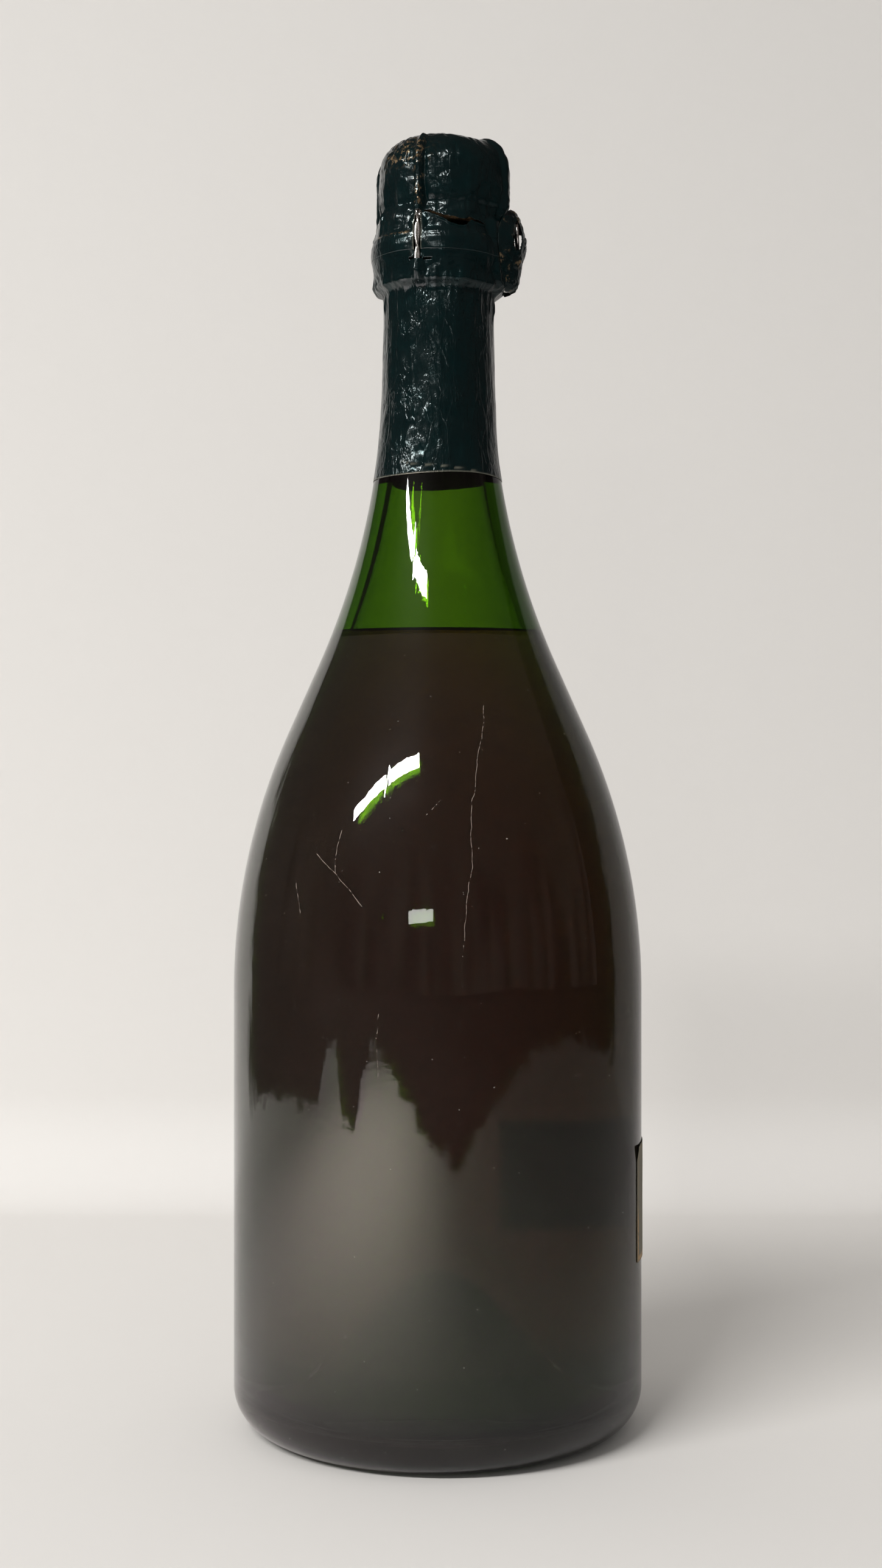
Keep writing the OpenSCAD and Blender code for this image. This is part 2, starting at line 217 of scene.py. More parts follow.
def grid_faces(rows, columns, closed):
    """Quads between the points of a grid, whose columns close round if closed is true."""
    last = columns if closed else columns - 1
    row, column = np.meshgrid(np.arange(rows - 1), np.arange(last), indexing="ij")
    beside = (column + 1) % columns
    quads = [row * columns + column, row * columns + beside,
        (row + 1) * columns + beside, (row + 1) * columns + column]
    return np.stack(quads, axis=-1).reshape(-1, 4)


def add_object(name, data):
    """Puts an object with this data into the scene."""
    added = bpy.data.objects.new(name, data)
    bpy.context.scene.collection.objects.link(added)
    return added


def new_piece(name, points, faces, *materials):
    """A mesh object from points in millimetres."""
    mesh = bpy.data.meshes.new(name)
    mesh.from_pydata((np.asarray(points, float) * MM).tolist(), [], [list(map(int, f)) for f in faces])
    for material in materials:
        mesh.materials.append(material)
    mesh.polygons.foreach_set("use_smooth", [True] * len(mesh.polygons))
    mesh.update()
    return add_object(name, mesh)


def rings(outline, columns):
    """Points of an outline turned round the axis."""
    directions = radial(np.arange(columns) * 360 / columns)
    heights = np.broadcast_to(outline[:, None, 1:], (len(outline), columns, 1))
    return np.concatenate([outline[:, None, :1] * directions[None], heights], axis=2).reshape(-1, 3)


def turned(name, outline, columns, material):
    """A closed shell turned round the axis. Its outline starts and ends on the axis."""
    points = rings(outline[1:-1], columns)
    faces = grid_faces(len(outline) - 2, columns, True).tolist()
    low, high = len(points), len(points) + 1
    top = len(points) - columns
    for i in range(columns):
        beside = (i + 1) % columns
        faces.append([low, beside, i])
        faces.append([high, top + i, top + beside])
    ends = [[0, 0, outline[0, 1]], [0, 0, outline[-1, 1]]]
    piece = new_piece(name, np.vstack([points, ends]), faces, material)
    piece.data.set_sharp_from_angle(angle=math.radians(35))
    return piece


def turned_sheet(name, outline, columns, material):
    """An open sheet turned round the axis, its outside outwards."""
    faces = grid_faces(len(outline), columns, True)
    return new_piece(name, rings(outline, columns), faces, material)


def bake(piece):
    """Turns a piece and its modifiers into a plain mesh."""
    evaluated = piece.evaluated_get(bpy.context.evaluated_depsgraph_get())
    piece.data = bpy.data.meshes.new_from_object(evaluated)
    piece.modifiers.clear()
    return piece


def thicken(piece, thickness):
    """Gives a sheet its thickness inwards. The second material is on its inner side."""
    solidify = piece.modifiers.new("Thickness", "SOLIDIFY")
    solidify.thickness = thickness * MM
    solidify.offset = -1
    solidify.material_offset = 1
    return bake(piece)


def set_attribute(piece, name, values):
    """A value for each point of a piece, for its material to read."""
    attribute = piece.data.attributes.new(name, "FLOAT", "POINT")
    attribute.data.foreach_set("value", np.asarray(values, np.float32).ravel())


def place(piece, body, slot, *replaced):
    """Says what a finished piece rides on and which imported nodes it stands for."""
    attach(piece, body)
    if replaced:
        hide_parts(*replaced)


# Shader nodes
def put(tree, kind, sockets=None, **settings):
    """Adds a node. A socket given as a value is set, and one given as an output is linked."""
    made = tree.nodes.new(kind)
    for name, value in settings.items():
        setattr(made, name, value)
    for key, value in (sockets or {}).items():
        join(value, made.inputs[key])
    return made


def join(value, socket):
    if isinstance(value, bpy.types.NodeSocket):
        socket.id_data.links.new(value, socket)
    else:
        socket.default_value = value


def tree_of(*values):
    """The node tree of the first of these values that is a node's output."""
    return next(value.id_data for value in values if isinstance(value, bpy.types.NodeSocket))


def fill(node, **values):
    """Sets or links a node's sockets, named with _ for a space, and returns its outputs."""
    for name, value in values.items():
        join(value, node.inputs[name.replace("_", " ")])
    return node.outputs


def calc(operation, *values, clamp=False):
    made = put(tree_of(*values), "ShaderNodeMath", dict(enumerate(values)), operation=operation)
    made.use_clamp = clamp
    return made.outputs[0]


def plus(first, *others):
    for value in others:
        first = calc("ADD", first, value)
    return first


def times(first, *others):
    for value in others:
        first = calc("MULTIPLY", first, value)
    return first


def layered(*layers):
    """Sum of layers, each a value and its weight."""
    return plus(*[times(value, weight) for value, weight in layers])


def vector_calc(operation, *values):
    """Vector maths. A length or a dot product comes out as a value."""
    sockets = {0: values[0], "Scale": values[1]} if operation == "SCALE" else dict(enumerate(values))
    made = put(tree_of(*values), "ShaderNodeVectorMath", sockets, operation=operation)
    return made.outputs["Value" if operation in ("LENGTH", "DOT_PRODUCT") else "Vector"]


def axes(vector):
    """X, Y and Z of a vector."""
    return put(vector.id_data, "ShaderNodeSeparateXYZ", {0: vector}).outputs


def spread(value, low, high, to_low=0.0, to_high=1.0, smooth=False):
    """Maps a value from one range to another, and stops at its ends."""
    ends = dict(enumerate([value, low, high, to_low, to_high]))
    kind = "SMOOTHSTEP" if smooth else "LINEAR"
    return put(value.id_data, "ShaderNodeMapRange", ends, interpolation_type=kind).outputs[0]


def between(share, first, second):
    """From first to second as a share goes from 0 to 1."""
    return spread(share, 0.0, 1.0, first, second)


def varied(value, first, second):
    """From first to second over the range that a noise mostly keeps to."""
    return spread(value, 0.3, 0.7, first, second)


def mixed(share, first, second):
    """Mixes two colours."""
    return put(share.id_data, "ShaderNodeMix", {0: share, 6: first, 7: second}, data_type="RGBA").outputs[2]


def scaled(vector, scale):
    """Coordinates times a scale, which may differ along X, Y and Z."""
    return put(vector.id_data, "ShaderNodeMapping", {"Vector": vector, "Scale": scale}).outputs[0]


def noise_value(vector, scale, detail=3.0, roughness=0.5):
    return put(vector.id_data, "ShaderNodeTexNoise", {"Vector": vector, "Scale": scale,
        "Detail": detail, "Roughness": roughness}).outputs["Fac"]


def noise_colour(vector, scale, detail):
    return put(vector.id_data, "ShaderNodeTexNoise", {"Vector": vector, "Scale": scale,
        "Detail": detail}).outputs["Color"]


def new_group(name, outputs, **inputs):
    """A shader node group with its inputs' values, where None stands for a vector."""
    tree = bpy.data.node_groups.new(name, "ShaderNodeTree")
    for label, value in inputs.items():
        kind = "NodeSocketVector" if value is None else "NodeSocketFloat"
        socket = tree.interface.new_socket(label, in_out="INPUT", socket_type=kind)
        if value is not None:
            socket.default_value = value
    for label in outputs:
        tree.interface.new_socket(label, in_out="OUTPUT", socket_type="NodeSocketFloat")
    return tree, tree.nodes.new("NodeGroupInput").outputs, tree.nodes.new("NodeGroupOutput")


def use_group(group, **values):
    """Places a group in a material, with its own values, and returns its outputs."""
    return fill(put(values["Place"].id_data, "ShaderNodeGroup", node_tree=group), **values)


def crumple_group():
    """Flat facets between creases, as in crushed foil. Size is a facet's width in metres."""
    tree, given, out = new_group("Crumple", ["Height", "Ridges"], Place=None, Size=0.004, Warp=0.5)
    scale = calc("DIVIDE", 1.0, given["Size"])
    shift = vector_calc("ADD", noise_colour(given["Place"], scale, 2.0), (-0.5, -0.5, -0.5))
    shift = vector_calc("SCALE", shift, times(given["Warp"], given["Size"]))
    bent = vector_calc("ADD", given["Place"], shift)
    cells = put(tree, "ShaderNodeTexVoronoi", {"Vector": bent, "Scale": scale}, feature="DISTANCE_TO_EDGE")
    height = cells.outputs["Distance"]
    fill(out, Height=height, Ridges=spread(height, 0.0, 0.05, 1.0, 0.0))
    return tree


def streak_group():
    """Long thin creases that run up and down."""
    tree, given, out = new_group("Long creases", ["Height"], Place=None, Width=0.0012)
    thin = scaled(given["Place"], (1, 1, 0.07))
    value = noise_value(thin, calc("DIVIDE", 1.0, given["Width"]), 4.0, 0.6)
    fold = calc("ABSOLUTE", calc("SUBTRACT", value, 0.5))
    fill(out, Height=spread(fold, 0.0, 0.12, 1.0, 0.0))
    return tree


def spots_group():
    """Ragged spots, such as rubbed lacquer, tarnish or dust. Amount is the share covered."""
    tree, given, out = new_group("Ragged spots", ["Mask", "Value"], Place=None, Size=0.002, Amount=0.3,
        Edge=0.05)
    value = noise_value(given["Place"], calc("DIVIDE", 1.0, given["Size"]), 5.0, 0.62)
    start = between(given["Amount"], 0.75, 0.25)
    fill(out, Mask=spread(value, start, plus(start, given["Edge"])), Value=value)
    return tree


def drawn_group():
    """Fine scratches of drawn or rolled metal, along Z."""
    tree, given, out = new_group("Drawn metal", ["Height"], Place=None, Width=0.0001)
    thin = scaled(given["Place"], (1, 1, 0.12))
    fill(out, Height=noise_value(thin, calc("DIVIDE", 1.0, given["Width"]), 2.0))
    return tree


def scratch_group():
    """A thin broken scratch on the front, straight from Start to End as seen from there."""
    tree, given, out = new_group("Scratch", ["Mask"], Place=None, Start=None, End=None, Width=0.0002,
        Broken=0.5)
    wander = vector_calc("MULTIPLY", noise_colour(given["Place"], 110.0, 4.0), (0.0032, 0, 0))
    shifted = vector_calc("ADD", given["Place"], wander)
    shifted = vector_calc("SUBTRACT", shifted, (0.0016, 0, 0))
    flat = vector_calc("MULTIPLY", shifted, (1, 0, 1))
    from_start = vector_calc("SUBTRACT", flat, given["Start"])
    whole = vector_calc("SUBTRACT", given["End"], given["Start"])
    along = calc("DIVIDE", vector_calc("DOT_PRODUCT", from_start, whole),
        vector_calc("DOT_PRODUCT", whole, whole), clamp=True)
    nearest = vector_calc("SCALE", whole, along)
    aside = vector_calc("LENGTH", vector_calc("SUBTRACT", from_start, nearest))
    line = spread(aside, times(given["Width"], 0.3), given["Width"], 1.0, 0.0)
    chips = noise_value(given["Place"], 900.0, 3.0, 0.7)
    gaps = spread(chips, between(given["Broken"], 0.2, 0.6),
        between(given["Broken"], 0.3, 0.66))
    front = calc("LESS_THAN", axes(given["Place"])[1], 0.0)
    fill(out, Mask=times(line, gaps, front))
    return tree


CRUMPLE = crumple_group()
SCRATCH = scratch_group()
STREAKS = streak_group()
SPOTS = spots_group()
DRAWN = drawn_group()


def spots(place, size, amount, edge):
    return use_group(SPOTS, Place=place, Size=size, Amount=amount, Edge=edge)


def crumpled(place, size, warp):
    return use_group(CRUMPLE, Place=place, Size=size, Warp=warp)


def new_material(name):
    """A material with its shader and the piece's own coordinates."""
    material = bpy.data.materials.new(name)
    material.use_nodes = True
    nodes = material.node_tree.nodes
    return material, nodes["Principled BSDF"], nodes.new("ShaderNodeTexCoord").outputs["Object"]


def bumped(height, strength, distance):
    """A bumpy surface's direction, for the shader's Normal."""
    return put(height.id_data, "ShaderNodeBump", {"Height": height, "Strength": strength,
        "Distance": distance}).outputs[0]


def absorb(material, colour, density):
    """Makes the inside of a clear material take light away by its depth."""
    tree = material.node_tree
    made = put(tree, "ShaderNodeVolumeAbsorption", {"Color": (*colour, 1), "Density": density})
    join(made.outputs[0], tree.nodes["Material Output"].inputs["Volume"])


def point_attribute(material, name):
    return put(material.node_tree, "ShaderNodeAttribute", attribute_name=name).outputs["Fac"]


def glass_finish():
    """Dark green bottle glass, with slight ripples, a mould seam, scuffs and greasy patches."""
    material, shader, spot = new_material("dark_green_glass")
    absorb(material, (0.572, 0.72, 0.01), 650)
    x, y, _ = axes(spot)
    seam_x, seam_y = radial(SEAM_AZIMUTH + 90)
    off_seam = layered((x, float(seam_x)), (y, float(seam_y)))
    seam = spread(calc("ABSOLUTE", off_seam), 0.0, 0.0005, 1.0, 0.0, smooth=True)
    broken = noise_value(scaled(spot, (1, 1, 0.2)), 60.0)
    seam = times(seam, spread(broken, 0.35, 0.6))
    ripple = noise_value(scaled(spot, (1, 1, 0.35)), 22.0, 1.5)
    peel = noise_value(scaled(spot, (1, 1, 0.6)), 170.0, 2.0)
    grain = noise_value(scaled(spot, (0.6, 0.6, 1)), 420.0, 2.0)
    height = layered((seam, 0.1), (ripple, 1.0), (peel, 0.035), (grain, 0.012))
    scuffs = spots(scaled(spot, (1, 1, 0.25)), 0.0035, 0.12, 0.06)
    scuffed = times(scuffs["Mask"], spread(scuffs["Value"], 0.5, 0.75, 0.02, 0.16))
    dust = spots(spot, 0.0011, 0.06, 0.03)
    grease = spots(spot, 0.02, 0.5, 0.5)
    fill(shader, Transmission_Weight=1.0, IOR=1.52, Coat_Roughness=0.33,
        Base_Color=mixed(dust["Mask"], (1, 1, 1, 1), (0.9, 0.93, 0.88, 1)),
        Roughness=plus(scuffed, times(dust["Mask"], 0.35), 0.012),
        Coat_Weight=between(grease["Mask"], 0.03, 0.08), Normal=bumped(height, 1.0, 0.0006))
    return material


# Scratches on the front: start and end to the right of the middle and above the table, and how broken
SCRATCHES = [
    ((12.4, 201), (11.2, 190), 0.6), ((11.2, 190), (9.4, 176), 0.45), ((9.4, 176), (8.6, 160), 0.5),
    ((8.6, 160), (6.4, 137.6), 0.6), ((6.4, 137.6), (6.2, 116), 0.9), ((10.8, 164), (8.4, 141), 0.95),
    ((-31.7, 161.8), (-19.5, 148.5), 0.5), ((-2.6, 172), (1.5, 177), 0.7), ((-25.5, 168), (-27.2, 157), 0.6),
    ((-37.5, 154), (-36.5, 146), 0.7), ((-15.5, 121), (-15.2, 88), 0.8)]


def film_finish():
    """A breath of dust on the glass, with specks and scratches. Elsewhere it isn't there."""
    material, shader, spot = new_material("dust_and_scratches")
    haze = spots(scaled(spot, (1, 1, 0.5)), 0.03, 0.5, 0.5)
    specks = spots(spot, 0.0009, 0.07, 0.02)
    alpha = between(haze["Mask"], 0.012, 0.022)
    alpha = calc("MAXIMUM", alpha, times(specks["Mask"], 0.6))
    for (start_x, start_z), (end_x, end_z), broken in SCRATCHES:
        line = use_group(SCRATCH, Place=spot, Start=(start_x * MM, 0, start_z * MM),
            End=(end_x * MM, 0, end_z * MM), Width=0.00011, Broken=broken)
        alpha = calc("MAXIMUM", alpha, times(line["Mask"], 0.42))
    fill(shader, Alpha=alpha, Roughness=varied(haze["Value"], 0.85, 1.0),
        Base_Color=mixed(specks["Mask"], (0.6, 0.5, 0.43, 1), (0.75, 0.72, 0.66, 1)),
        Normal=bumped(specks["Value"], 0.2, 0.0001))
    return material


def wine_finish():
    """Clear dark amber wine, with a few fine bubbles under its surface."""
    material, shader, spot = new_material("wine")
    absorb(material, (0.883, 0.65, 0.16), 120)
    bubbles = spots(spot, 0.0016, 0.1, 0.04)
    fill(shader, Transmission_Weight=1.0, IOR=1.34,
        Roughness=between(bubbles["Mask"], 0.0, 0.08),
        Base_Color=mixed(bubbles["Mask"], (1, 1, 1, 1), (0.96, 0.93, 0.88, 1)),
        Normal=bumped(bubbles["Value"], 0.04, 0.0003))
    return material


def foil_finish():
    """Dark blue green lacquered foil: smooth facets, thin creases, crushed patches and rubbed crests. The
    coppery line on the collar's crest is partly a painted highlight, and the lighter lines along cut edges
    are painted highlights.
    """
    material, shader, spot = new_material("crinkled_foil")
    large = crumpled(scaled(spot, (1, 1, 0.5)), 0.006, 0.8)
    long = crumpled(scaled(spot, (1, 1, 0.3)), 0.0038, 0.5)
    small = crumpled(scaled(spot, (1, 1, 0.55)), 0.0011, 0.8)
    lines = use_group(STREAKS, Place=spot, Width=0.0011)
    crushed = spots(spot, 0.009, 0.45, 0.12)
    small_height = times(small["Height"], between(crushed["Mask"], 0.1, 1.0))
    height = layered((large["Height"], 0.28), (long["Ridges"], 0.05), (small_height, 0.42))
    height = times(height, between(point_attribute(material, "calm"), 1.0, 0.25))
    height = plus(height, times(lines["Height"], 0.02))
    tint = spots(spot, 0.006, 0.5, 0.5)
    rubbed = spots(spot, 0.0014, 0.5, 0.1)
    # Rubbed foil shows coppery; on the collar's crest this coppery line is partly a painted highlight
    worn = calc("MULTIPLY", point_attribute(material, "wear_and_highlight"), rubbed["Mask"], clamp=True)
    colour = mixed(tint["Mask"], (0.0022, 0.0115, 0.0125, 1), (0.005, 0.03, 0.032, 1))
    colour = mixed(worn, colour, (0.26, 0.18, 0.1, 1))
    # Painted highlight: a lighter grey-gold line along the foil's cut edges, from the edge attribute
    colour = mixed(point_attribute(material, "edge"), colour, (0.2, 0.2, 0.16, 1))
    fill(shader, IOR=1.62, Base_Color=colour, Metallic=varied(tint["Value"], 0.35, 0.6),
        Roughness=varied(crushed["Value"], 0.1, 0.22), Normal=bumped(height, 1.0, 0.001))
    return material


def foil_back_finish():
    """The bare inner side of the foil."""
    material, shader, spot = new_material("foil_back")
    creases = crumpled(spot, 0.003, 0.7)
    stains = spots(spot, 0.004, 0.45, 0.3)
    fill(shader, Metallic=varied(stains["Value"], 0.9, 0.7),
        Base_Color=mixed(stains["Mask"], (0.1, 0.095, 0.085, 1), (0.04, 0.032, 0.025, 1)),
        Roughness=varied(stains["Value"], 0.35, 0.55),
        Normal=bumped(creases["Height"], 0.5, 0.0005))
    return material


def wire_finish():
    """Bright drawn steel wire with a little tarnish."""
    material, shader, spot = new_material("cage_wire")
    lines = use_group(DRAWN, Place=spot, Width=0.00012)
    tarnish = spots(spot, 0.0015, 0.35, 0.2)
    fill(shader, Metallic=between(tarnish["Mask"], 1.0, 0.85),
        Base_Color=mixed(tarnish["Mask"], (0.74, 0.73, 0.7, 1), (0.36, 0.31, 0.24, 1)),
        Roughness=varied(tarnish["Value"], 0.16, 0.4),
        Normal=bumped(lines["Height"], 0.25, 0.00004))
    return material


def plate_finish():
    """Lacquered metal plate on the cork, rubbed at its rim by the wires."""
    material, shader, spot = new_material("lacquered_plate")
    rolled = use_group(DRAWN, Place=scaled(spot, (1, 1, 8)), Width=0.0003)
    chips = spots(spot, 0.0018, 0.22, 0.04)
    height = axes(spot)[2]
    rim = spread(height, (ROUND_Z + 5.9) * MM, (ROUND_Z + 7.4) * MM, 1.0, 0.0)
    worn = calc("MULTIPLY", chips["Mask"], between(rim, 0.35, 1.0), clamp=True)
    fill(shader, Coat_Roughness=0.15, Coat_Weight=between(worn, 0.6, 0.0), Metallic=worn,
        Base_Color=mixed(worn, (0.012, 0.05, 0.06, 1), (0.5, 0.48, 0.44, 1)),
        Roughness=varied(rolled["Height"], 0.28, 0.4),
        Normal=bumped(rolled["Height"], 0.15, 0.0001))
    return material


def granule_finish():
    """Agglomerated cork: pressed granules of several browns with dark joints."""
    material, shader, spot = new_material("agglomerated_cork")
    tree = material.node_tree
    cells = {"Vector": spot, "Scale": 620.0}
    grains = put(tree, "ShaderNodeTexVoronoi", cells)
    joints = put(tree, "ShaderNodeTexVoronoi", cells, feature="DISTANCE_TO_EDGE")
    shade = put(tree, "ShaderNodeSeparateColor", {0: grains.outputs["Color"]}).outputs[0]
    pores = spots(spot, 0.0006, 0.3, 0.1)
    gap = spread(joints.outputs["Distance"], 0.0, 0.07, 1.0, 0.0)
    colour = mixed(shade, (0.28, 0.15, 0.07, 1), (0.56, 0.37, 0.2, 1))
    colour = mixed(times(pores["Mask"], 0.6), colour, (0.14, 0.07, 0.03, 1))
    colour = mixed(times(gap, 0.7), colour, (0.1, 0.05, 0.025, 1))
    height = calc("SUBTRACT", times(shade, 0.3), plus(gap, pores["Mask"]))
    fill(shader, Base_Color=colour, Roughness=between(shade, 0.72, 0.9),
        Normal=bumped(height, 0.6, 0.00025))
    return material


def cork_disc_finish():
    """Natural cork in growth layers, with dark pores, stained by the wine."""
    material, shader, spot = new_material("natural_cork")
    layers = noise_value(scaled(spot, (1, 0.12, 0.12)), 500.0)
    pores = spots(scaled(spot, (1, 1, 0.3)), 0.0012, 0.25, 0.05)
    colour = mixed(layers, (0.4, 0.24, 0.12, 1), (0.66, 0.46, 0.26, 1))
    height = calc("SUBTRACT", layers, pores["Mask"])
    fill(shader, Base_Color=mixed(pores["Mask"], colour, (0.12, 0.06, 0.03, 1)),
        Roughness=varied(layers, 0.75, 0.9), Normal=bumped(height, 0.5, 0.0002))
    return material


def paper_finish():
    """Uncoated grey brown label paper with fibres, stains and a thin gilt line along its edge."""
    material, shader, spot = new_material("label_paper")
    fibres = noise_value(scaled(spot, (1, 1, 0.4)), 2600.0, 4.0, 0.7)
    stains = spots(spot, 0.012, 0.45, 0.4)
    rubbed = spots(spot, 0.0015, 0.75, 0.1)
    gilt = calc("MULTIPLY", point_attribute(material, "gilt"), rubbed["Mask"], clamp=True)
    colour = mixed(stains["Mask"], (0.17, 0.155, 0.115, 1), (0.125, 0.11, 0.08, 1))
    colour = mixed(spread(fibres, 0.35, 0.65, 0.0, 0.35), colour, (0.26, 0.24, 0.19, 1))
    fill(shader, Base_Color=mixed(gilt, colour, (0.62, 0.38, 0.16, 1)), Metallic=gilt,
        Roughness=between(gilt, 0.8, 0.35), Normal=bumped(fibres, 0.35, 0.00006))
    return material


GLASS = glass_finish()
FILM = film_finish()
WINE = wine_finish()
FOIL = foil_finish()
FOIL_BACK = foil_back_finish()
WIRE = wire_finish()
PLATE = plate_finish()
GRANULES = granule_finish()
CORK_DISC = cork_disc_finish()
PAPER = paper_finish()


# Crinkles of the foil, worked out on its points
def rounds(value, low, high):
    """Goes smoothly from 0 at low to 1 at high."""
    share = np.clip((value - low) / (high - low), 0, 1)
    return share * share * (3 - 2 * share)


def band(value, low, low_end, high, high_end):
    """Goes smoothly from 0 at low to 1 at low_end, and back to 0 from high to high_end."""
    return rounds(value, low, low_end) * (1 - rounds(value, high, high_end))


def hump(value, centre, width):
    return np.exp(-((value - centre) / width) ** 2)


def wrapped(azimuth, centre):
    """Degrees from centre to azimuth, from -180 to 180."""
    return (azimuth - centre + 180) % 360 - 180


def near(azimuth, centre, width):
    """A hump round the bottle, 1 at the azimuth given as its centre."""
    return hump(wrapped(azimuth, centre), 0, width)


def facets(points, size, seed):
    """Height of crushed facets at each point: 0 in the creases, up to about 1 on the crests."""
    offset = Vector((seed * 7.3, seed * 3.1, seed * 5.7))
    heights = []
    for point in points.reshape(-1, 3):
        spot = Vector(point) / size + offset
        spot += noise.noise_vector(spot * 0.8) * 0.45
        nearest = noise.voronoi(spot)[0]
        heights.append(min(nearest[1] - nearest[0], 0.8) / 0.8)
    return np.array(heights).reshape(points.shape[:-1])


def soft_noise(points, size, seed):
    offset = Vector((seed * 2.9, seed * 8.1, seed * 4.3))
    values = [noise.noise(Vector(point) / size + offset) for point in points.reshape(-1, 3)]
    return np.array(values).reshape(points.shape[:-1])


def pleats(azimuth, height, count, low_z, high_z, depth, seed):
    """Narrow upright folds at chance places, each over its own stretch of height."""
    chance = np.random.default_rng(seed)
    total = np.zeros(np.broadcast(azimuth, height).shape)
    for _ in range(count):
        centre = chance.uniform(0, 360)
        lean = chance.uniform(-0.5, 0.5)
        width = chance.uniform(1.2, 3.2)
        middle = chance.uniform(low_z, high_z)
        length = chance.uniform(0.25, 0.7) * (high_z - low_z)
        sideways = np.abs(wrapped(azimuth, centre + lean * (height - middle)))
        along = np.clip(1 - ((height - middle) / length) ** 2, 0, 1)
        total += chance.uniform(0.4, 1) * depth * np.exp(-sideways / width) * along
    return total


def tented(reach, ridge, azimuth, radius, slope):
    """Raises the foil over the legs of the cage, and lets it slope down on both sides."""
    for leg in LEG_AZIMUTHS.values():
        aside = np.radians(np.abs(wrapped(azimuth, leg))) * radius
        reach = np.maximum(reach, ridge - slope * np.maximum(aside - 0.5 * LEG_R, 0))
    return reach


def foil_azimuths():
    """Columns of the foil, closer together round the bared front leg."""
    fine = np.arange(FRONT_LEG - 10, FRONT_LEG + 10, 0.5)
    return np.concatenate([fine, np.linspace(FRONT_LEG + 10, FRONT_LEG + 350, 262, endpoint=False)])


def sheet_from(name, points, kept, wear_and_highlight, edge, calm, *top):
    """A foil sheet from a grid of points, without the faces whose corners aren't kept."""
    rows, columns = points.shape[:2]
    faces = grid_faces(rows, columns, True)
    faces = faces[kept.ravel()[faces].all(axis=1)].tolist()
    flat = points.reshape(-1, 3)
    if top:
        faces += [[len(flat), (i + 1) % columns, i] for i in range(columns)]
        flat = np.vstack([flat, top[0]])
    piece = new_piece(name, flat, faces, FOIL, FOIL_BACK)
    for label, values in (("wear_and_highlight", wear_and_highlight), ("edge", edge), ("calm", calm)):
        set_attribute(piece, label, np.append(values.ravel(), np.zeros(len(top))))
    return piece


def at_radius(azimuth, height, radius):
    """Points at a radius from the bottle's axis."""
    return np.concatenate([radial(azimuth) * radius[..., None], height[..., None]], axis=2)


def at_reach(azimuth, centre_r, centre_z, angle, reach):
    """Points at a reach from the rounding's centre line, at an angle above level."""
    lean = np.radians(angle)
    return at_radius(azimuth, centre_z + reach * np.sin(lean), centre_r + reach * np.cos(lean))


# Foil hood: how far it reaches from the rounding's centre line over the cork's top, and over a leg there
HOOD_TOP_REACH = 9.35
HOOD_ANGLES = [0, 30, 45, 60, 75, 90]
HOOD_REACH_AT_ANGLES = [8.7, 8.75, 8.85, 9.05, 9.3, 9.35]
LEG_ANGLES = [0, 60, 72]
LEG_REACH_AT_ANGLES = [9.85, 9.8, 9.1]
# Radius of the foil between the legs: flare under the collar, belt, collar ring, waist and cork
SIDE_HEIGHTS = [314.5, 316.4, 317.4, 318.2, 318.9, 319.5, 320, 321.2, 322.3, 323.5, 325, 326.6, 327.8, 329.3,
    330.9, 332.1, 333, 334, 335.3, 337, 338.6, 341, 343, 347, 352]
SIDE_RADII = [15.0, 15.1, 15.25, 15.6, 16.4, 17.2, 17.4, 17.45, 17.6, 17.85, 18.15, 18.5, 18.75, 18.85,
    18.75, 18.35, 17.85, 17.45, 17.3, 17.15, 16.8, 16.0, 16.6, 17.1, 17.0]
# Radius of the foil over a leg
LEG_HEIGHTS = [318.3, 318.7, 319.2, 320.2, 321.6, 335.2, 336.2, 337.6, 338.5, 352]
LEG_RADII = [15.3, 16.7, 17.95, 18.5, 19.15, 19.2, 18.8, 18.3, 18.15, 18.15]
# Round the loop the foil keeps inside the tented foil, between these heights and this far to both sides
LOOP_SIDE_HEIGHTS = [315.6, 317.2, 318.6, 320, 337, 340]
LOOP_SIDE_RADII = [15.0, 16.0, 18.0, 19.2, 19.3, 15.0]
LOOP_SIDE_R = 19.3
LOOP_LOW_Z, LOOP_HIGH_Z = 319, 337.5
LOOP_HALF_HEIGHTS = [318.8, 321, 325, 328.5, 337]
LOOP_HALVES = [12, 20, 25, 29, 31]
# The cork leans to the right in its foil, which bulges there
DOME_SHIFT = 1.9
DOME_BULGE = 1.4
DOME_BULGE_AZIMUTH = 95
# Crushing of the foil: facets, fine facets and swells, in mm, the same on both sides of the tear line
FACET_H, FINE_H, SWELL_H = 0.34, 0.13, 0.4
FACET_SIZE, FINE_SIZE, SWELL_SIZE = 4.4, 1.9, 7
# The tear under the cork's head, right of the bared leg
GASH_AZIMUTHS = [-13, -9, 5, 12, 20, 27, 31, 46, 49]
GASH_HEIGHTS = [338.3, 338.2, 336.6, 335.9, 335.3, 335.5, 336.5, 335.8, 335.6]
GASH_HALF_HEIGHTS = [0, 0.2, 0.35, 0.8, 1.0, 0.85, 0.3, 0.16, 0]
# The leg is bare between these heights, down to a short level tear
BARE_TOP_Z = 338.4
BARE_LOW_Z = 324.9
BARE_HALF_W = 0.92
SHORT_TEAR = (-2.3, 3.7)
SHORT_TEAR_HALF_H = 0.14
# The crest of the collar ring, with a coppery line that is partly rubbed foil and partly a painted highlight
CREST_Z = 332.5


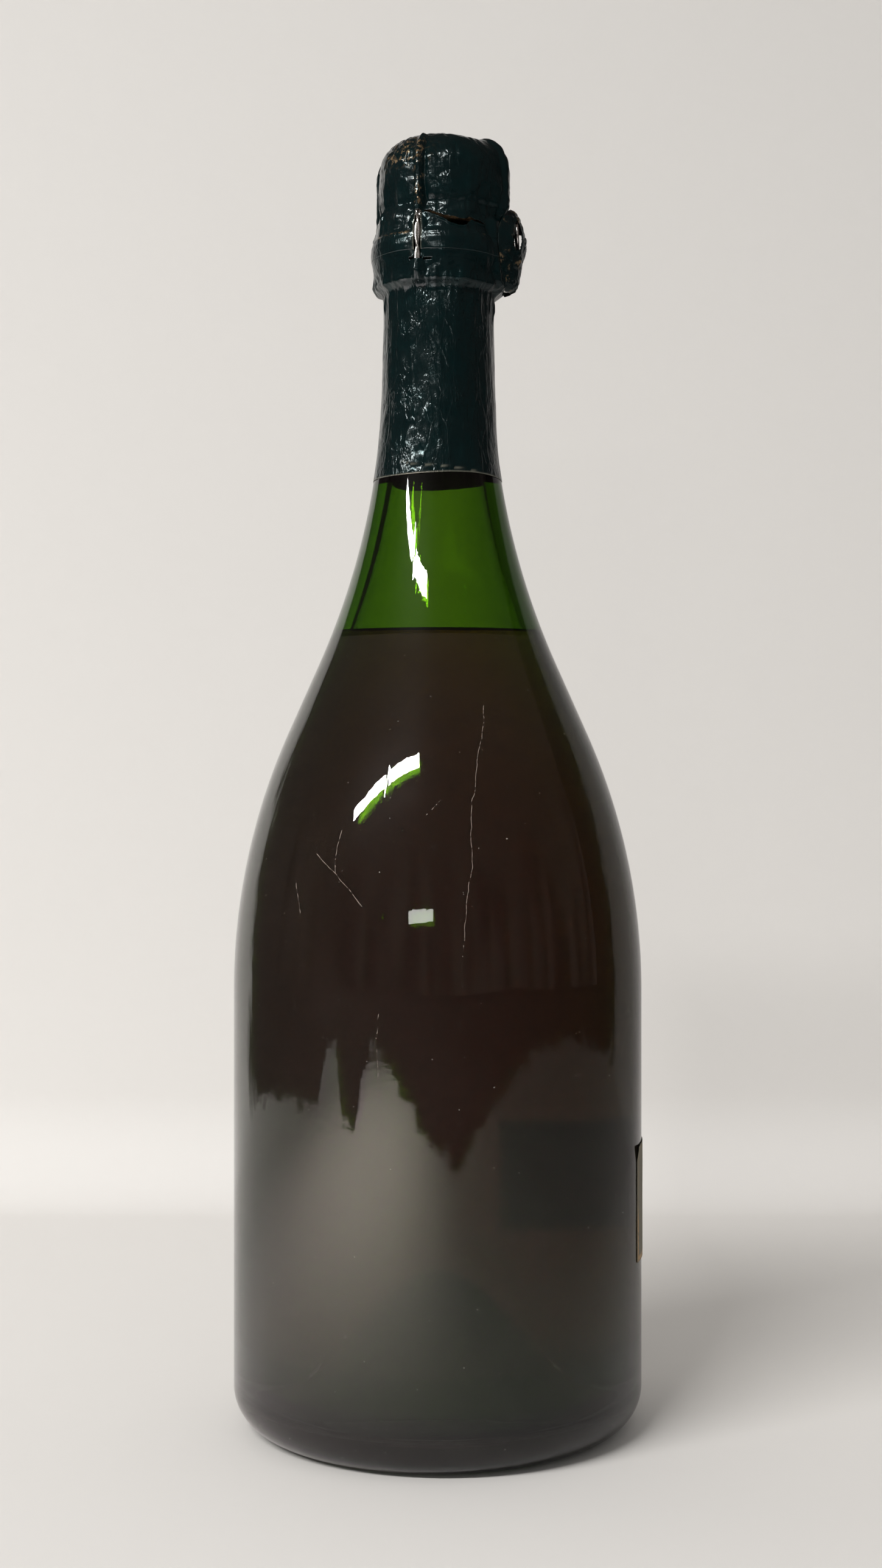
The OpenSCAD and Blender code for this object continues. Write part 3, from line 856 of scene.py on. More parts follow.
def foil_side(around, height):
    """Radius of the foil over the cork's side, the collar and the belt, raised over the legs."""
    radius = np.interp(height, SIDE_HEIGHTS, SIDE_RADII)
    near_bare = band(height, BARE_LOW_Z, BARE_LOW_Z + 2, BARE_TOP_Z - 1, BARE_TOP_Z + 2)
    sunk = near_bare * near(around, FRONT_LEG, 6)
    radius = radius - 0.5 * sunk
    ridge = np.interp(height, LEG_HEIGHTS, LEG_RADII) - 1.1 * sunk
    radius = tented(radius, ridge, around, radius, 0.75 + 0.35 * rounds(height, 336, 340))
    off_loop = np.abs(wrapped(around, LOOP_AZIMUTH))
    half = np.interp(height, LOOP_HALF_HEIGHTS, LOOP_HALVES)
    beside_loop = np.interp(height, LOOP_SIDE_HEIGHTS, LOOP_SIDE_RADII)
    return np.maximum(radius, beside_loop - 3.5 * rounds(off_loop, half, half + 16))


def kept_in_tent(radius, around, height):
    """Keeps the crushed foil inside the tented foil round the loop."""
    off_loop = np.abs(wrapped(around, LOOP_AZIMUTH))
    close = off_loop < np.interp(height, LOOP_HALF_HEIGHTS, LOOP_HALVES)
    close = close & (height > LOOP_LOW_Z) & (height < LOOP_HIGH_Z)
    return np.where(close, np.minimum(radius, LOOP_SIDE_R), radius)


def crushing(points):
    """Facets, fine facets and swells of the crushed foil at each point, calmer over the collar ring."""
    squeezed = points.copy()
    height = squeezed[..., 2]
    squeezed[..., 2] = np.where(height < COLLAR_Z, (height + COLLAR_Z) / 2, height)
    calm = 1 - 0.6 * hump(points[..., 2], 329, 5.5)
    return (facets(squeezed, FACET_SIZE, 1) * calm, facets(squeezed, FINE_SIZE, 2) * calm,
        soft_noise(points, SWELL_SIZE, 3) * calm)


def bare_half(swell):
    """Half width of the slit over the bared leg."""
    return BARE_HALF_W * (1 + 0.25 * swell)


def hood_rows():
    """Centre line radius, centre line height and angle of each row, from the top down."""
    top_r = np.linspace(0, ROUND_R, 15)[1:-1]
    turn = np.linspace(90, 0, 31)
    side_z = np.concatenate([np.arange(351.5, 340, -0.45), np.arange(340, 333, -0.22),
        np.linspace(333, TEAR_Z - 0.15, 20)])
    centre_r = np.concatenate([top_r, np.full(len(turn) + len(side_z), ROUND_R)])
    centre_z = np.concatenate([np.full(len(top_r) + len(turn), float(ROUND_Z)), side_z])
    angle = np.concatenate([np.full(len(top_r), 90.0), turn, np.zeros(len(side_z))])
    return centre_r[:, None], centre_z[:, None], angle[:, None]


def hood_form(around, height, angle):
    """How far the hood reaches before it is crushed."""
    on_side = angle == 0
    over_top = np.interp(angle, HOOD_ANGLES, HOOD_REACH_AT_ANGLES)
    leg_over_top = np.interp(angle, LEG_ANGLES, LEG_REACH_AT_ANGLES)
    over_top = tented(over_top, leg_over_top, around, ROUND_R + over_top, 0.9 - 0.5 * rounds(angle, 20, 60))
    reach = np.where(on_side, foil_side(around, height) - ROUND_R, over_top)
    in_dome = rounds(height, 336.5, 342.5)
    lean_out = np.sin(np.radians(around)) * np.cos(np.radians(angle))
    reach = reach + DOME_SHIFT * np.maximum(lean_out, 0.3 * lean_out) * in_dome
    reach = reach + DOME_BULGE * near(around, DOME_BULGE_AZIMUTH, 32) * in_dome * (1 - rounds(angle, 48, 72))
    leg_ridge = np.where(on_side, np.interp(height, LEG_HEIGHTS, LEG_RADII) - ROUND_R, leg_over_top)
    on_leg = np.where(height > BARE_TOP_Z, tented(0 * reach, leg_ridge, around, ROUND_R + reach, 2.5), 0)
    return np.maximum(reach, on_leg)


def hood_wear_and_highlight(around, height, on_side, along_leg, upper_left, fine, swell):
    """Where the hood is rubbed: its upper left and along the bared leg. On the collar's crest, mostly left of
    the bared leg, a coppery line that is partly rubbed foil and partly a painted highlight.
    """
    crest_rub_and_highlight = hump(height, CREST_Z + 0.6 * swell, 0.3) * on_side
    left_of_leg = band(wrapped(around, 0), -85, -70, -30, -22)
    crest_rub_and_highlight = crest_rub_and_highlight * np.maximum(left_of_leg, 0.6 * near(around, 55, 9))
    along_leg = along_leg * rounds(fine, 0.1, 0.5)
    return np.clip(1.5 * upper_left * rounds(fine, 0, 0.4) + along_leg + crest_rub_and_highlight, 0, 1)


def hood_calm(around, height, tall, upper_left):
    """Where the hood's fine creases are weak: all but three patches at the front."""
    front_patch = near(around, 4, 13) * band(tall, 345.5, 348.5, 356, 359)
    low_patch = 0.6 * hump(np.hypot(wrapped(around, -4) / 8, (height - 332.5) / 2.5), 0, 1)
    return 1 - np.clip(np.maximum(front_patch, upper_left) + low_patch, 0.15, 1)


def foil_hood_piece():
    """Foil pressed over the cork's head, tented over the legs and torn open at the front."""
    azimuth = foil_azimuths()
    centre_r, centre_z, angle = hood_rows()
    around = np.broadcast_to(azimuth, (len(centre_r), len(azimuth)))
    height = np.broadcast_to(centre_z, around.shape)
    on_side = angle == 0
    reach = hood_form(around, height, angle)
    aside = np.radians(wrapped(around, FRONT_LEG)) * (ROUND_R + reach)
    crest, fine, swell = crushing(at_reach(azimuth, centre_r, centre_z, angle, reach))
    tall = centre_z + reach * np.sin(np.radians(angle))
    by_leg = rounds(height, BARE_TOP_Z, BARE_TOP_Z + 2) * (1 - rounds(angle, 20, 60))
    upper_left = near(around, -40, 19) * band(tall, 350, 353, 358.5, 361)
    folds = pleats(around, height, 46, 334, 352, 0.4, 4) * np.where(on_side, rounds(height, 329, 334), 0.3)
    folds = folds * (0.5 + hump(height, 340, 5))
    top_share = 1 - 0.55 * (angle > 80)
    reach = reach + top_share * (FACET_H * crest + FINE_H * fine + SWELL_H * swell) + folds
    reach = reach + by_leg * (0.35 * fine * hump(aside, 0, 0.8) - 0.5 * hump(aside, 1.7, 0.6))
    reach = reach + 0.3 * upper_left * (fine - 0.3) + 0.15 * hump(height, CREST_Z, 0.4) * on_side
    reach = kept_in_tent(ROUND_R + reach, around, height) - ROUND_R
    front = wrapped(around, 0)
    gash_z = np.interp(front, GASH_AZIMUTHS, GASH_HEIGHTS)
    gash_half = np.interp(front, GASH_AZIMUTHS, GASH_HALF_HEIGHTS) * (0.8 + 0.6 * swell + 0.4 * crest)
    reach = reach + 0.25 * hump(height, gash_z - gash_half - 0.3, 0.5) * (gash_half > 0.05) * on_side
    points = at_reach(azimuth, centre_r, centre_z, angle, reach)
    half_w = bare_half(swell) * (1 - 0.5 * rounds(height, BARE_TOP_Z - 4, BARE_TOP_Z))
    bared = (np.abs(aside) < half_w) & (height < BARE_TOP_Z) & on_side
    torn = (np.abs(height - gash_z) < gash_half) & on_side
    wear_and_highlight = hood_wear_and_highlight(around, height, on_side, hump(aside, 0, 1.1) * by_leg, upper_left, fine, swell)
    # Painted highlight along the rim of the slit over the bared leg
    edge = 0.5 * hump(np.abs(aside) - half_w, 0.1, 0.25) * (height < BARE_TOP_Z) * on_side
    calm = hood_calm(around, height, tall, upper_left)
    top = [[0, 0, ROUND_Z + HOOD_TOP_REACH + 0.1]]
    piece = sheet_from("foil_hood_crinkled", points, ~(bared | torn), wear_and_highlight, edge, calm, top)
    piece.data.flip_normals()
    return thicken(piece, FOIL_T)


# Neck foil: the overlapped end on the front, and how far its top edge tucks in under the hood
OVERLAP_AZIMUTHS = [-30, -24, 0, 30, 42]
OVERLAP_HEIGHTS = [269.2, 268.4, 267.8, 266.9, 266.3]
NECK_TOP_Z = TEAR_Z + 0.35
TUCK_IN = 0.08
# How loose the foil is on the neck, all round and at the right
LOOSE = 0.12
LOOSE_RIGHT = 0.55
ROOT_HOLE_R = 1.35


def neck_rows(azimuth):
    """Heights of the neck foil's points, from its wavy lower edge up to the hood, and that edge."""
    wave = 0.45 * np.sin(np.radians(azimuth + 60)) + 0.2 * np.sin(np.radians(3 * azimuth))
    low_z = FOIL_LOW_Z - 1.4 + wave
    share = np.concatenate([np.linspace(0, 0.76, 88), np.linspace(0.76, 1, 54)[1:]])
    return low_z[None] + (NECK_TOP_Z - low_z[None]) * share[:, None], low_z[None]


def neck_form(around, height):
    """Radius of the neck foil before it is crushed."""
    side = shoulder_and_neck(0)
    radius = np.interp(height, side[:, 1], side[:, 0]) + LOOSE
    radius = radius + LOOSE_RIGHT * near(around, 90, 45) * rounds(height, 272, 288)
    return np.where(height > SIDE_HEIGHTS[0], np.maximum(radius, foil_side(around, height)), radius)


def neck_folds(around, height):
    """Fine pleats all along the neck, and deeper ones where the foil widens to the collar."""
    folds = pleats(around, height, 56, 268, 318, 0.15, 8) * (1 - rounds(height, 318, 324))
    return folds + pleats(around, height, 75, 313, 323, 0.5, 12) * (1 - rounds(height, 320, 325))


def clear_of_belt(radius, height):
    """Keeps the foil outside the belt wire."""
    over_belt = np.sqrt(np.maximum((WIRE_R + 0.15) ** 2 - (height - BELT_Z) ** 2, 0)) + BELT_R
    return np.maximum(radius, np.where(np.abs(height - BELT_Z) < WIRE_R, over_belt, 0))


def neck_foil_piece():
    """Foil wrapped round the neck, with a wavy lower edge and an overlapped end at the front."""
    azimuth = foil_azimuths()
    height, low_z = neck_rows(azimuth)
    around = np.broadcast_to(azimuth, height.shape)
    radius = neck_form(around, height)
    crest, fine, swell = crushing(at_radius(azimuth, height, radius))
    free = rounds(height, 315.5, 319)
    folds = neck_folds(around, height)
    busy = 0.35 + 0.3 * near(around, -8, 40) * (1 - rounds(height, 275, 305))
    front = wrapped(around, 0)
    overlap_z = np.interp(front, OVERLAP_AZIMUTHS, OVERLAP_HEIGHTS)
    over = rounds(height, overlap_z - 0.1, overlap_z + 0.1) * rounds(front, -34, -26)
    over = over * (1 - rounds(front, 41, 44))
    bulge = (busy + (1 - busy) * free) * (FACET_H * crest + FINE_H * fine) + folds
    bulge = bulge + 0.12 * over * (1 - free)
    radius = radius + bulge + SWELL_H * (0.25 + 0.75 * free) * np.where(free > 0, swell, np.maximum(swell, 0))
    radius = clear_of_belt(kept_in_tent(radius, around, height), height)
    radius = radius - TUCK_IN * rounds(height, TEAR_Z - 0.35, TEAR_Z - 0.1)
    aside = np.radians(wrapped(around, LOOP_AZIMUTH)) * radius
    hole = np.hypot(aside, height - BELT_Z) < ROOT_HOLE_R + 0.3 * swell
    aside = np.radians(wrapped(around, FRONT_LEG)) * radius
    hole |= (np.abs(aside) < bare_half(swell)) & (height > BARE_LOW_Z)
    short_tear = (aside > SHORT_TEAR[0]) & (aside < SHORT_TEAR[1])
    hole |= (np.abs(height - BARE_LOW_Z) < SHORT_TEAR_HALF_H) & short_tear
    wear_and_highlight = near(around, FRONT_LEG, 4) * rounds(height, 321, 324) * rounds(crest, 0.1, 0.5)
    # Painted highlight along the foil's lower edge and along the overlap line
    edge = 0.8 * hump(height, low_z, 0.22) + 0.7 * hump(height, overlap_z, 0.16) * (over > 0.02)
    calm = rounds(height, 316, 322)
    points = at_radius(azimuth, height, radius)
    piece = sheet_from("foil_neck_crinkled", points, ~hole, wear_and_highlight, np.clip(edge, 0, 1), calm)
    return thicken(piece, FOIL_T)


# Foil tented over the wire loop: peak, half width and the radius of its rim by height
TENT_HEIGHTS = [318.8, 319.6, 321, 325, 328.5, 331.5, 334, 336.7, 339.5, 341.2, 342.3]
TENT_PEAKS = [20.7, 22.4, 23.0, 23.7, 24.4, 25.3, 25.1, 24.4, 23.5, 22.7, 21.0]
TENT_HALF_WIDTHS = [3.4, 5.0, 6.0, 7.6, 8.8, 9.4, 9.5, 8.9, 7.3, 5.2, 2.6]
TENT_RIM_R = [19.4, 19.4, 19.4, 19.4, 19.4, 19.4, 19.4, 19.45, 19.9, 20.4, 20.8]
# Its tears as [x, z, half width, half height] on the front and the back flank
FRONT_TEAR = [22.6, 334.5, 1.2, 4.4]
BACK_TEAR = [23.0, 334.6, 1.0, 2.2]
# The slot that passes the loop's root as the loop folds
ROOT_SLOT_HALF_W = 1.3
ROOT_SLOT_H = 1.4


def in_tear(points, tear, ragged):
    x, z, half_w, half_h = tear
    return np.hypot((points[..., 2] - z) / half_h, (points[..., 0] - x) / half_w) < ragged


def foil_tent_piece():
    """Foil pinched over the folded wire loop, open at its back and torn on both flanks."""
    heights = np.linspace(TENT_HEIGHTS[0], TENT_HEIGHTS[-1], 84)
    across = np.linspace(-1, 1, 81)
    height = np.broadcast_to(heights[:, None], (len(heights), len(across)))
    peak = np.interp(height, TENT_HEIGHTS, TENT_PEAKS)
    half_w = np.interp(height, TENT_HEIGHTS, TENT_HALF_WIDTHS)
    depth = np.broadcast_to((1 - np.abs(across) ** 2.2) ** 1.4, height.shape)
    rim_r = np.interp(height, TENT_HEIGHTS, TENT_RIM_R)
    rim_x = np.sqrt(rim_r ** 2 - (half_w * across) ** 2)
    points = np.stack([rim_x + (peak - rim_x) * depth, half_w * across, height], axis=2)
    crest = facets(points, 3.0, 9)
    fine = facets(points, 1.3, 10)
    away = points - [20, 0, 330]
    away = away / np.linalg.norm(away, axis=2, keepdims=True)
    inside = depth ** 0.5
    points = points + away * ((0.65 * crest + 0.3 * fine - 0.3) * inside)[..., None]
    points[..., 0] = np.maximum(points[..., 0], rim_x)
    ragged = 1 + 0.4 * (fine - 0.5)
    root_slot = (np.abs(points[..., 1]) < ROOT_SLOT_HALF_W) & (points[..., 2] < BELT_Z + ROOT_SLOT_H)
    at_front = points[..., 1] < 0
    torn = np.where(at_front, in_tear(points, FRONT_TEAR, ragged), in_tear(points, BACK_TEAR, ragged))
    faces = grid_faces(*height.shape, False)
    faces = faces[~(torn | root_slot).ravel()[faces].any(axis=1)]
    piece = new_piece("foil_tent_crinkled", points.reshape(-1, 3), faces, FOIL, FOIL_BACK)
    set_attribute(piece, "wear_and_highlight", 0.7 * rounds(crest, 0.3, 0.8))
    set_attribute(piece, "edge", np.zeros(height.size))
    set_attribute(piece, "calm", np.full(height.size, 0.5))
    return thicken(piece, FOIL_T)


# Wires
def wire_tree():
    """Geometry Nodes: sweeps a round section along a chain of edges, with slight chance kinks."""
    tree = bpy.data.node_groups.new("Drawn wire", "GeometryNodeTree")
    for label, kind in [("Path", "NodeSocketGeometry"), ("Wire radius", "NodeSocketFloat"),
            ("Sides", "NodeSocketInt"), ("Kink", "NodeSocketFloat"), ("Kink seed", "NodeSocketFloat"),
            ("Finish", "NodeSocketMaterial")]:
        tree.interface.new_socket(label, in_out="INPUT", socket_type=kind)
    tree.interface.new_socket("Wire", in_out="OUTPUT", socket_type="NodeSocketGeometry")
    given = tree.nodes.new("NodeGroupInput").outputs
    line = put(tree, "GeometryNodeMeshToCurve", {"Mesh": given["Path"]}).outputs[0]
    where = tree.nodes.new("GeometryNodeInputPosition").outputs[0]
    chance = put(tree, "ShaderNodeTexNoise", {"Vector": where, "W": given["Kink seed"], "Scale": 260.0,
        "Detail": 1.0}, noise_dimensions="4D").outputs["Color"]
    centred = vector_calc("SUBTRACT", chance, (0.5, 0.5, 0.5))
    kink = vector_calc("SCALE", centred, given["Kink"])
    bent = put(tree, "GeometryNodeSetPosition", {"Geometry": line, "Offset": kink}).outputs[0]
    section = put(tree, "GeometryNodeCurvePrimitiveCircle", {"Resolution": given["Sides"],
        "Radius": given["Wire radius"]}).outputs[0]
    swept = put(tree, "GeometryNodeCurveToMesh", {"Curve": bent, "Profile Curve": section, "Fill Caps": True})
    smooth = put(tree, "GeometryNodeSetShadeSmooth", {"Geometry": swept.outputs[0]}).outputs[0]
    real = put(tree, "GeometryNodeRealizeInstances", {"Geometry": smooth}).outputs[0]
    finished = put(tree, "GeometryNodeSetMaterial", {"Geometry": real, "Material": given["Finish"]})
    tree.links.new(finished.outputs[0], tree.nodes.new("NodeGroupOutput").inputs["Wire"])
    return tree


WIRE_TREE = wire_tree()
WIRE_SIDES = 14
WIRE_KINK = 0.12


def wire_piece(name, paths, radius, seed, closed=False):
    """Round wires swept along chains of points in millimetres."""
    points, edges = [], []
    for path in paths:
        first = len(points)
        points += (np.asarray(path) * MM).tolist()
        edges += [(first + i, first + i + 1) for i in range(len(path) - 1)]
        if closed:
            edges.append((first + len(path) - 1, first))
    mesh = bpy.data.meshes.new(name)
    mesh.from_pydata(points, edges, [])
    piece = add_object(name, mesh)
    modifier = piece.modifiers.new("Wire", "NODES")
    modifier.node_group = WIRE_TREE
    values = {"Wire radius": radius * MM, "Sides": WIRE_SIDES, "Kink": WIRE_KINK * MM,
        "Kink seed": float(seed), "Finish": WIRE}
    for item in WIRE_TREE.interface.items_tree:
        if item.name in values and item.in_out == "INPUT":
            modifier[item.identifier] = values[item.name]
    return bake(piece)


def straight(start, end):
    """Points from start to end, without start."""
    count = max(1, round(float(np.linalg.norm(np.subtract(end, start))) / PATH_STEP))
    return [np.add(start, np.subtract(end, start) * i / count) for i in range(1, count + 1)]


def bend(centre_r, centre_z, radius, start, end):
    """Points round an arc, without its first."""
    count = max(2, round(abs(end - start) * math.pi / 180 * radius / PATH_STEP))
    return list(arc(centre_r, centre_z, radius, start, end, count)[1:])


def strand(path, side_sign):
    """One of two strands twisted round a flat path, side by side in its plane where it ends."""
    path = np.array(path)
    steps = np.linalg.norm(np.diff(path, axis=0), axis=1)
    left = np.concatenate([np.cumsum(steps[::-1])[::-1], [0]])
    turn = 2 * np.pi * left / TWIST_PITCH
    ahead = np.gradient(path, axis=0)
    ahead = ahead / np.linalg.norm(ahead, axis=1, keepdims=True)
    across = np.column_stack([ahead[:, 1], -ahead[:, 0]])
    flat = path + side_sign * STRAND_OFF * np.cos(turn)[:, None] * across
    return np.column_stack([flat, side_sign * STRAND_OFF * np.sin(turn)])


def leg_paths(azimuth):
    """One leg: a wire from the ring over the head, down, round the belt wire and back up."""
    side_r = ROUND_R + LEG_REACH
    corners = [[side_r, ROUND_Z], [side_r, COLLAR_TOP_Z + LEG_WAIST_H],
        [LEG_COLLAR_R, COLLAR_TOP_Z + LEG_R], [LEG_COLLAR_R, COLLAR_Z + COLLAR_SLOPE_H / 2]]
    path = list(arc(ROUND_R, ROUND_Z, LEG_REACH, LEG_START_ANGLE, LEG_START_ANGLE, 1)[:1])
    path += bend(ROUND_R, ROUND_Z, LEG_REACH, LEG_START_ANGLE, 0)
    for start, end in zip(corners, corners[1:]):
        path += straight(start, end)
    eye = arc(BELT_R, BELT_Z, EYE_R, *EYE_TURN, 30)
    eye = np.column_stack([eye, np.zeros(len(eye))])
    whole = np.vstack([strand(path, -1), eye, strand(path, 1)[::-1]])
    out, beside = radial(azimuth), radial(azimuth + 90)
    level = whole[:, :1] * out + whole[:, 2:] * beside
    return [np.column_stack([level, whole[:, 1]])]


def loop_path():
    """The wire loop: up the stem, round the eye and back down, folded up against the collar."""
    lean = (math.asin(LOOP_EYE_R / math.hypot(LOOP_TAPER_L, STRAND_OFF))
        - math.atan2(STRAND_OFF, LOOP_TAPER_L))
    centre_z = STEM_L + LOOP_TAPER_L
    side_end = [LOOP_EYE_R * math.cos(lean), centre_z - LOOP_EYE_R * math.sin(lean)]
    right = np.array(straight([STRAND_OFF, STEM_L], side_end))
    turn = math.degrees(lean)
    round_end = np.array(bend(0, centre_z, LOOP_EYE_R, -turn, 180 + turn))
    left = (right * [-1, 1])[::-1][1:]
    eye = np.vstack([right, round_end, left])
    stem = [np.array([0.0, 0.0])] + straight([0, 0], [0, STEM_L])
    eye = np.column_stack([eye, np.zeros(len(eye))])
    path = np.vstack([strand(stem, 1), eye, strand(stem, -1)[::-1]])
    leaned = (path[:, 2] - np.minimum(path[:, 1], STEM_L) * math.tan(math.radians(STEM_LEAN))
        + np.maximum(path[:, 1] - STEM_L, 0) * math.tan(math.radians(EYE_LEAN)))
    return [np.column_stack([FOLD_X - leaned, path[:, 0], BELT_Z + path[:, 1]])]


def root_paths():
    """The two strands of the loop's root, twisted on their way out of the belt."""
    along = np.linspace(ROOT_START, ROOT_END, 12)
    turn = 2 * np.pi * (along - ROOT_START) / (TWIST_PITCH / 2)
    across, up = STRAND_OFF * np.cos(turn), STRAND_OFF * np.sin(turn)
    return [np.column_stack([along, sign * across, BELT_Z + sign * up]) for sign in (1, -1)]


def ring_path(radius, height):
    level = radial(np.arange(0, 360, 1.5)) * radius
    return [np.column_stack([level, np.full(len(level), height)])]


def make_wires():
    for seed, (node, azimuth) in enumerate(LEG_AZIMUTHS.items()):
        leg = wire_piece(node + "_twisted", leg_paths(azimuth), STRAND_R, seed)
        place(leg, "cage", "cage_wire", node)
    ring_r = ROUND_R + RING_REACH * math.cos(math.radians(RING_ANGLE))
    ring_z = ROUND_Z + RING_REACH * math.sin(math.radians(RING_ANGLE))
    ring = wire_piece("cage_ring_wire", ring_path(ring_r, ring_z), WIRE_R, 5, closed=True)
    place(ring, "cage", "cage_wire", "cage_top_ring")
    belt = wire_piece("belt_ring_wire", ring_path(BELT_R, BELT_Z), WIRE_R, 6, closed=True)
    place(belt, "cage", "cage_wire", "belt_wire")
    root = wire_piece("loop_root_twisted", root_paths(), STRAND_R, 7)
    place(root, "loop_base", "cage_wire", "loop_root")
    loop = wire_piece("wire_loop_twisted", loop_path(), STRAND_R, 8)
    place(loop, "loop", "cage_wire", "wire_loop")


# Label: azimuth of its left edge, width, thickness and distance from the glass
LABEL_AZIMUTH = 72.3
LABEL_W = 97.7
LABEL_T = 0.16
LABEL_GAP = 0.06
LABEL_LOW_Z = lowest("label")[2]
LABEL_H = highest("label")[2] - LABEL_LOW_Z
GILT_INSET = 0.9
GILT_W = 0.55


def label_piece():
    """Blank paper label with a thin gilt border, slightly cockled, its upper front corner lifted."""
    columns, rows = 160, 52
    share_u, share_v = np.meshgrid(np.linspace(0, 1, columns), np.linspace(0, 1, rows))
    height = LABEL_LOW_Z + LABEL_H * share_v
    along = share_u * LABEL_W
    flat = np.stack([along, height, 0 * height], axis=2)
    cockle = 0.05 + 0.05 * soft_noise(flat, 9, 11)
    corner = np.hypot(along, (1 - share_v) * LABEL_H)
    radius = BODY_R + LABEL_GAP + LABEL_T + cockle + 0.55 * (1 - rounds(corner, 0, 4.5))
    points = at_radius(LABEL_AZIMUTH + np.degrees(along / BODY_R), height, radius)
    faces = grid_faces(rows, columns, False)
    piece = new_piece("label_paper_sheet", points.reshape(-1, 3), faces, PAPER)
    from_side = np.minimum(share_u, 1 - share_u) * LABEL_W
    from_end = np.minimum(share_v, 1 - share_v) * LABEL_H
    gilt = hump(np.minimum(from_side, from_end), GILT_INSET, GILT_W)
    set_attribute(piece, "gilt", gilt * (1 - 0.85 * rounds(share_v, 0.35, 0.5)))
    return thicken(piece, LABEL_T)


# Studio
# What the glass and the foil mirror: a pale round of floor and wall, centred a little to the right
# of the bottle, with a brighter pool of light at its front left, in metres
MIRRORED_MIDDLE = (0.12, 0.0, 0.0)
MIRRORED_REACH = (0.74, 0.57, 0.8)
POOL_MIDDLE = (-0.28, -0.39, 0.0)
POOL_REACH = (0.38, 0.56, 0.2)
POOL_LIGHT = (2.7, 2.15, 2.15, 1)
# The round's edge is ragged at the front, as if things stood on it: azimuth and share of its reach
EDGE_TURNS = [-125, -105, -84, -70, -64, -61, -55, -51, -44, -40, -35, -22, -15, -7, 9, 17, 27, 41, 55,
    86, 125]
EDGE_SHARES = [1.0, 1.1, 1.08, 1.05, 1.15, 1.5, 1.55, 1.05, 0.97, 1.3, 1.65, 1.4, 1.22, 1.0, 0.82, 0.9,
    1.0, 1.16, 1.26, 1.16, 1.0]


def how_far_out(spot, middle, reach):
    """Distance from a middle, 1 at the reach given along each axis."""
    shifted = vector_calc("SUBTRACT", spot, middle)
    return vector_calc("LENGTH", vector_calc("DIVIDE", shifted, reach))


def edge_share(spot):
    """Share of the mirrored round's reach in the direction of a spot."""
    x, y, _ = axes(spot)
    turn = calc("ARCTAN2", x, times(y, -1.0))
    ramp = put(spot.id_data, "ShaderNodeValToRGB", {0: spread(turn, -math.pi, math.pi)})
    stops = ramp.color_ramp.elements
    for i, (azimuth, share) in enumerate(zip(EDGE_TURNS, EDGE_SHARES)):
        stop = stops[i] if i < 2 else stops.new(1.0)
        stop.position = (azimuth + 180) / 360
        stop.color = (share / 2, share / 2, share / 2, 1)
    return times(ramp.outputs[0], 2.0)


def beyond_round(spot):
    """0 on the pale round and 1 past its edge."""
    out = how_far_out(spot, MIRRORED_MIDDLE, MIRRORED_REACH)
    out = calc("DIVIDE", out, edge_share(spot))
    ragged = times(calc("SUBTRACT", noise_value(spot, 9.0, 4.0), 0.5), 0.35)
    return spread(plus(out, ragged), 0.95, 1.06, smooth=True)


def not_seen_plainly(tree):
    """0 for what the camera sees itself and for soft light, 1 for what is mirrored or refracted."""
    ray = tree.nodes.new("ShaderNodeLightPath").outputs
    return calc("SUBTRACT", 1.0, calc("MAXIMUM", ray["Is Camera Ray"], ray["Is Diffuse Ray"]))


def studio_finish():
    """Pale warm grey floor and wall, of which glass and foil mirror only the part near the bottle."""
    material, shader, spot = new_material("studio_grey")
    mottle = noise_value(spot, 3.0, 4.0)
    x, _, z = axes(spot)
    tree = material.node_tree
    mirrored = not_seen_plainly(tree)
    # Painted reflection: past the pale round, mirrors see the floor and wall almost black, as a dark room
    gone = times(mirrored, beyond_round(spot))
    # Painted shade: in mirrors, the floor and wall grow dark towards the right
    mirrored_shade_right = times(mirrored, spread(x, -0.1, 0.36, 0.0, 0.68))
    colour = mixed(mottle, (0.69, 0.675, 0.655, 1), (0.73, 0.715, 0.695, 1))
    # Painted shade: the wall darkens towards its top
    colour = mixed(spread(z, 0.0, 0.6), colour, (0.54, 0.53, 0.515, 1))
    colour = mixed(mirrored_shade_right, colour, (0.083, 0.07, 0.074, 1))
    # Painted light: in mirrors only, the floor glows as a pool of light at the front left
    from_pool = how_far_out(spot, POOL_MIDDLE, POOL_REACH)
    pool = spread(from_pool, 0.1, 1.0, 1.0, 0.0, smooth=True)
    pool = times(pool, mirrored, calc("SUBTRACT", 1.0, gone))
    fill(shader, Specular_IOR_Level=0.1, Emission_Strength=1.0,
        Base_Color=mixed(gone, colour, (0.035, 0.028, 0.026, 1)),
        Emission_Color=mixed(pool, (0, 0, 0, 1), POOL_LIGHT),
        Roughness=varied(mottle, 0.8, 0.9),
        Normal=bumped(noise_value(spot, 900.0, 2.0), 0.05, 0.0002))
    see_through = tree.nodes.new("ShaderNodeBsdfTransparent").outputs[0]
    back = tree.nodes.new("ShaderNodeNewGeometry").outputs["Backfacing"]
    either = put(tree, "ShaderNodeMixShader", {0: back, 1: shader.outputs[0], 2: see_through})
    tree.links.new(either.outputs[0], tree.nodes["Material Output"].inputs["Surface"])
    return material


# Floor and wall, in millimetres
WALL_Y = 328
SWEEP_R = 45
STAGE_HALF_W = 2200
STAGE_FRONT_Y = -2200
WALL_H = 1300


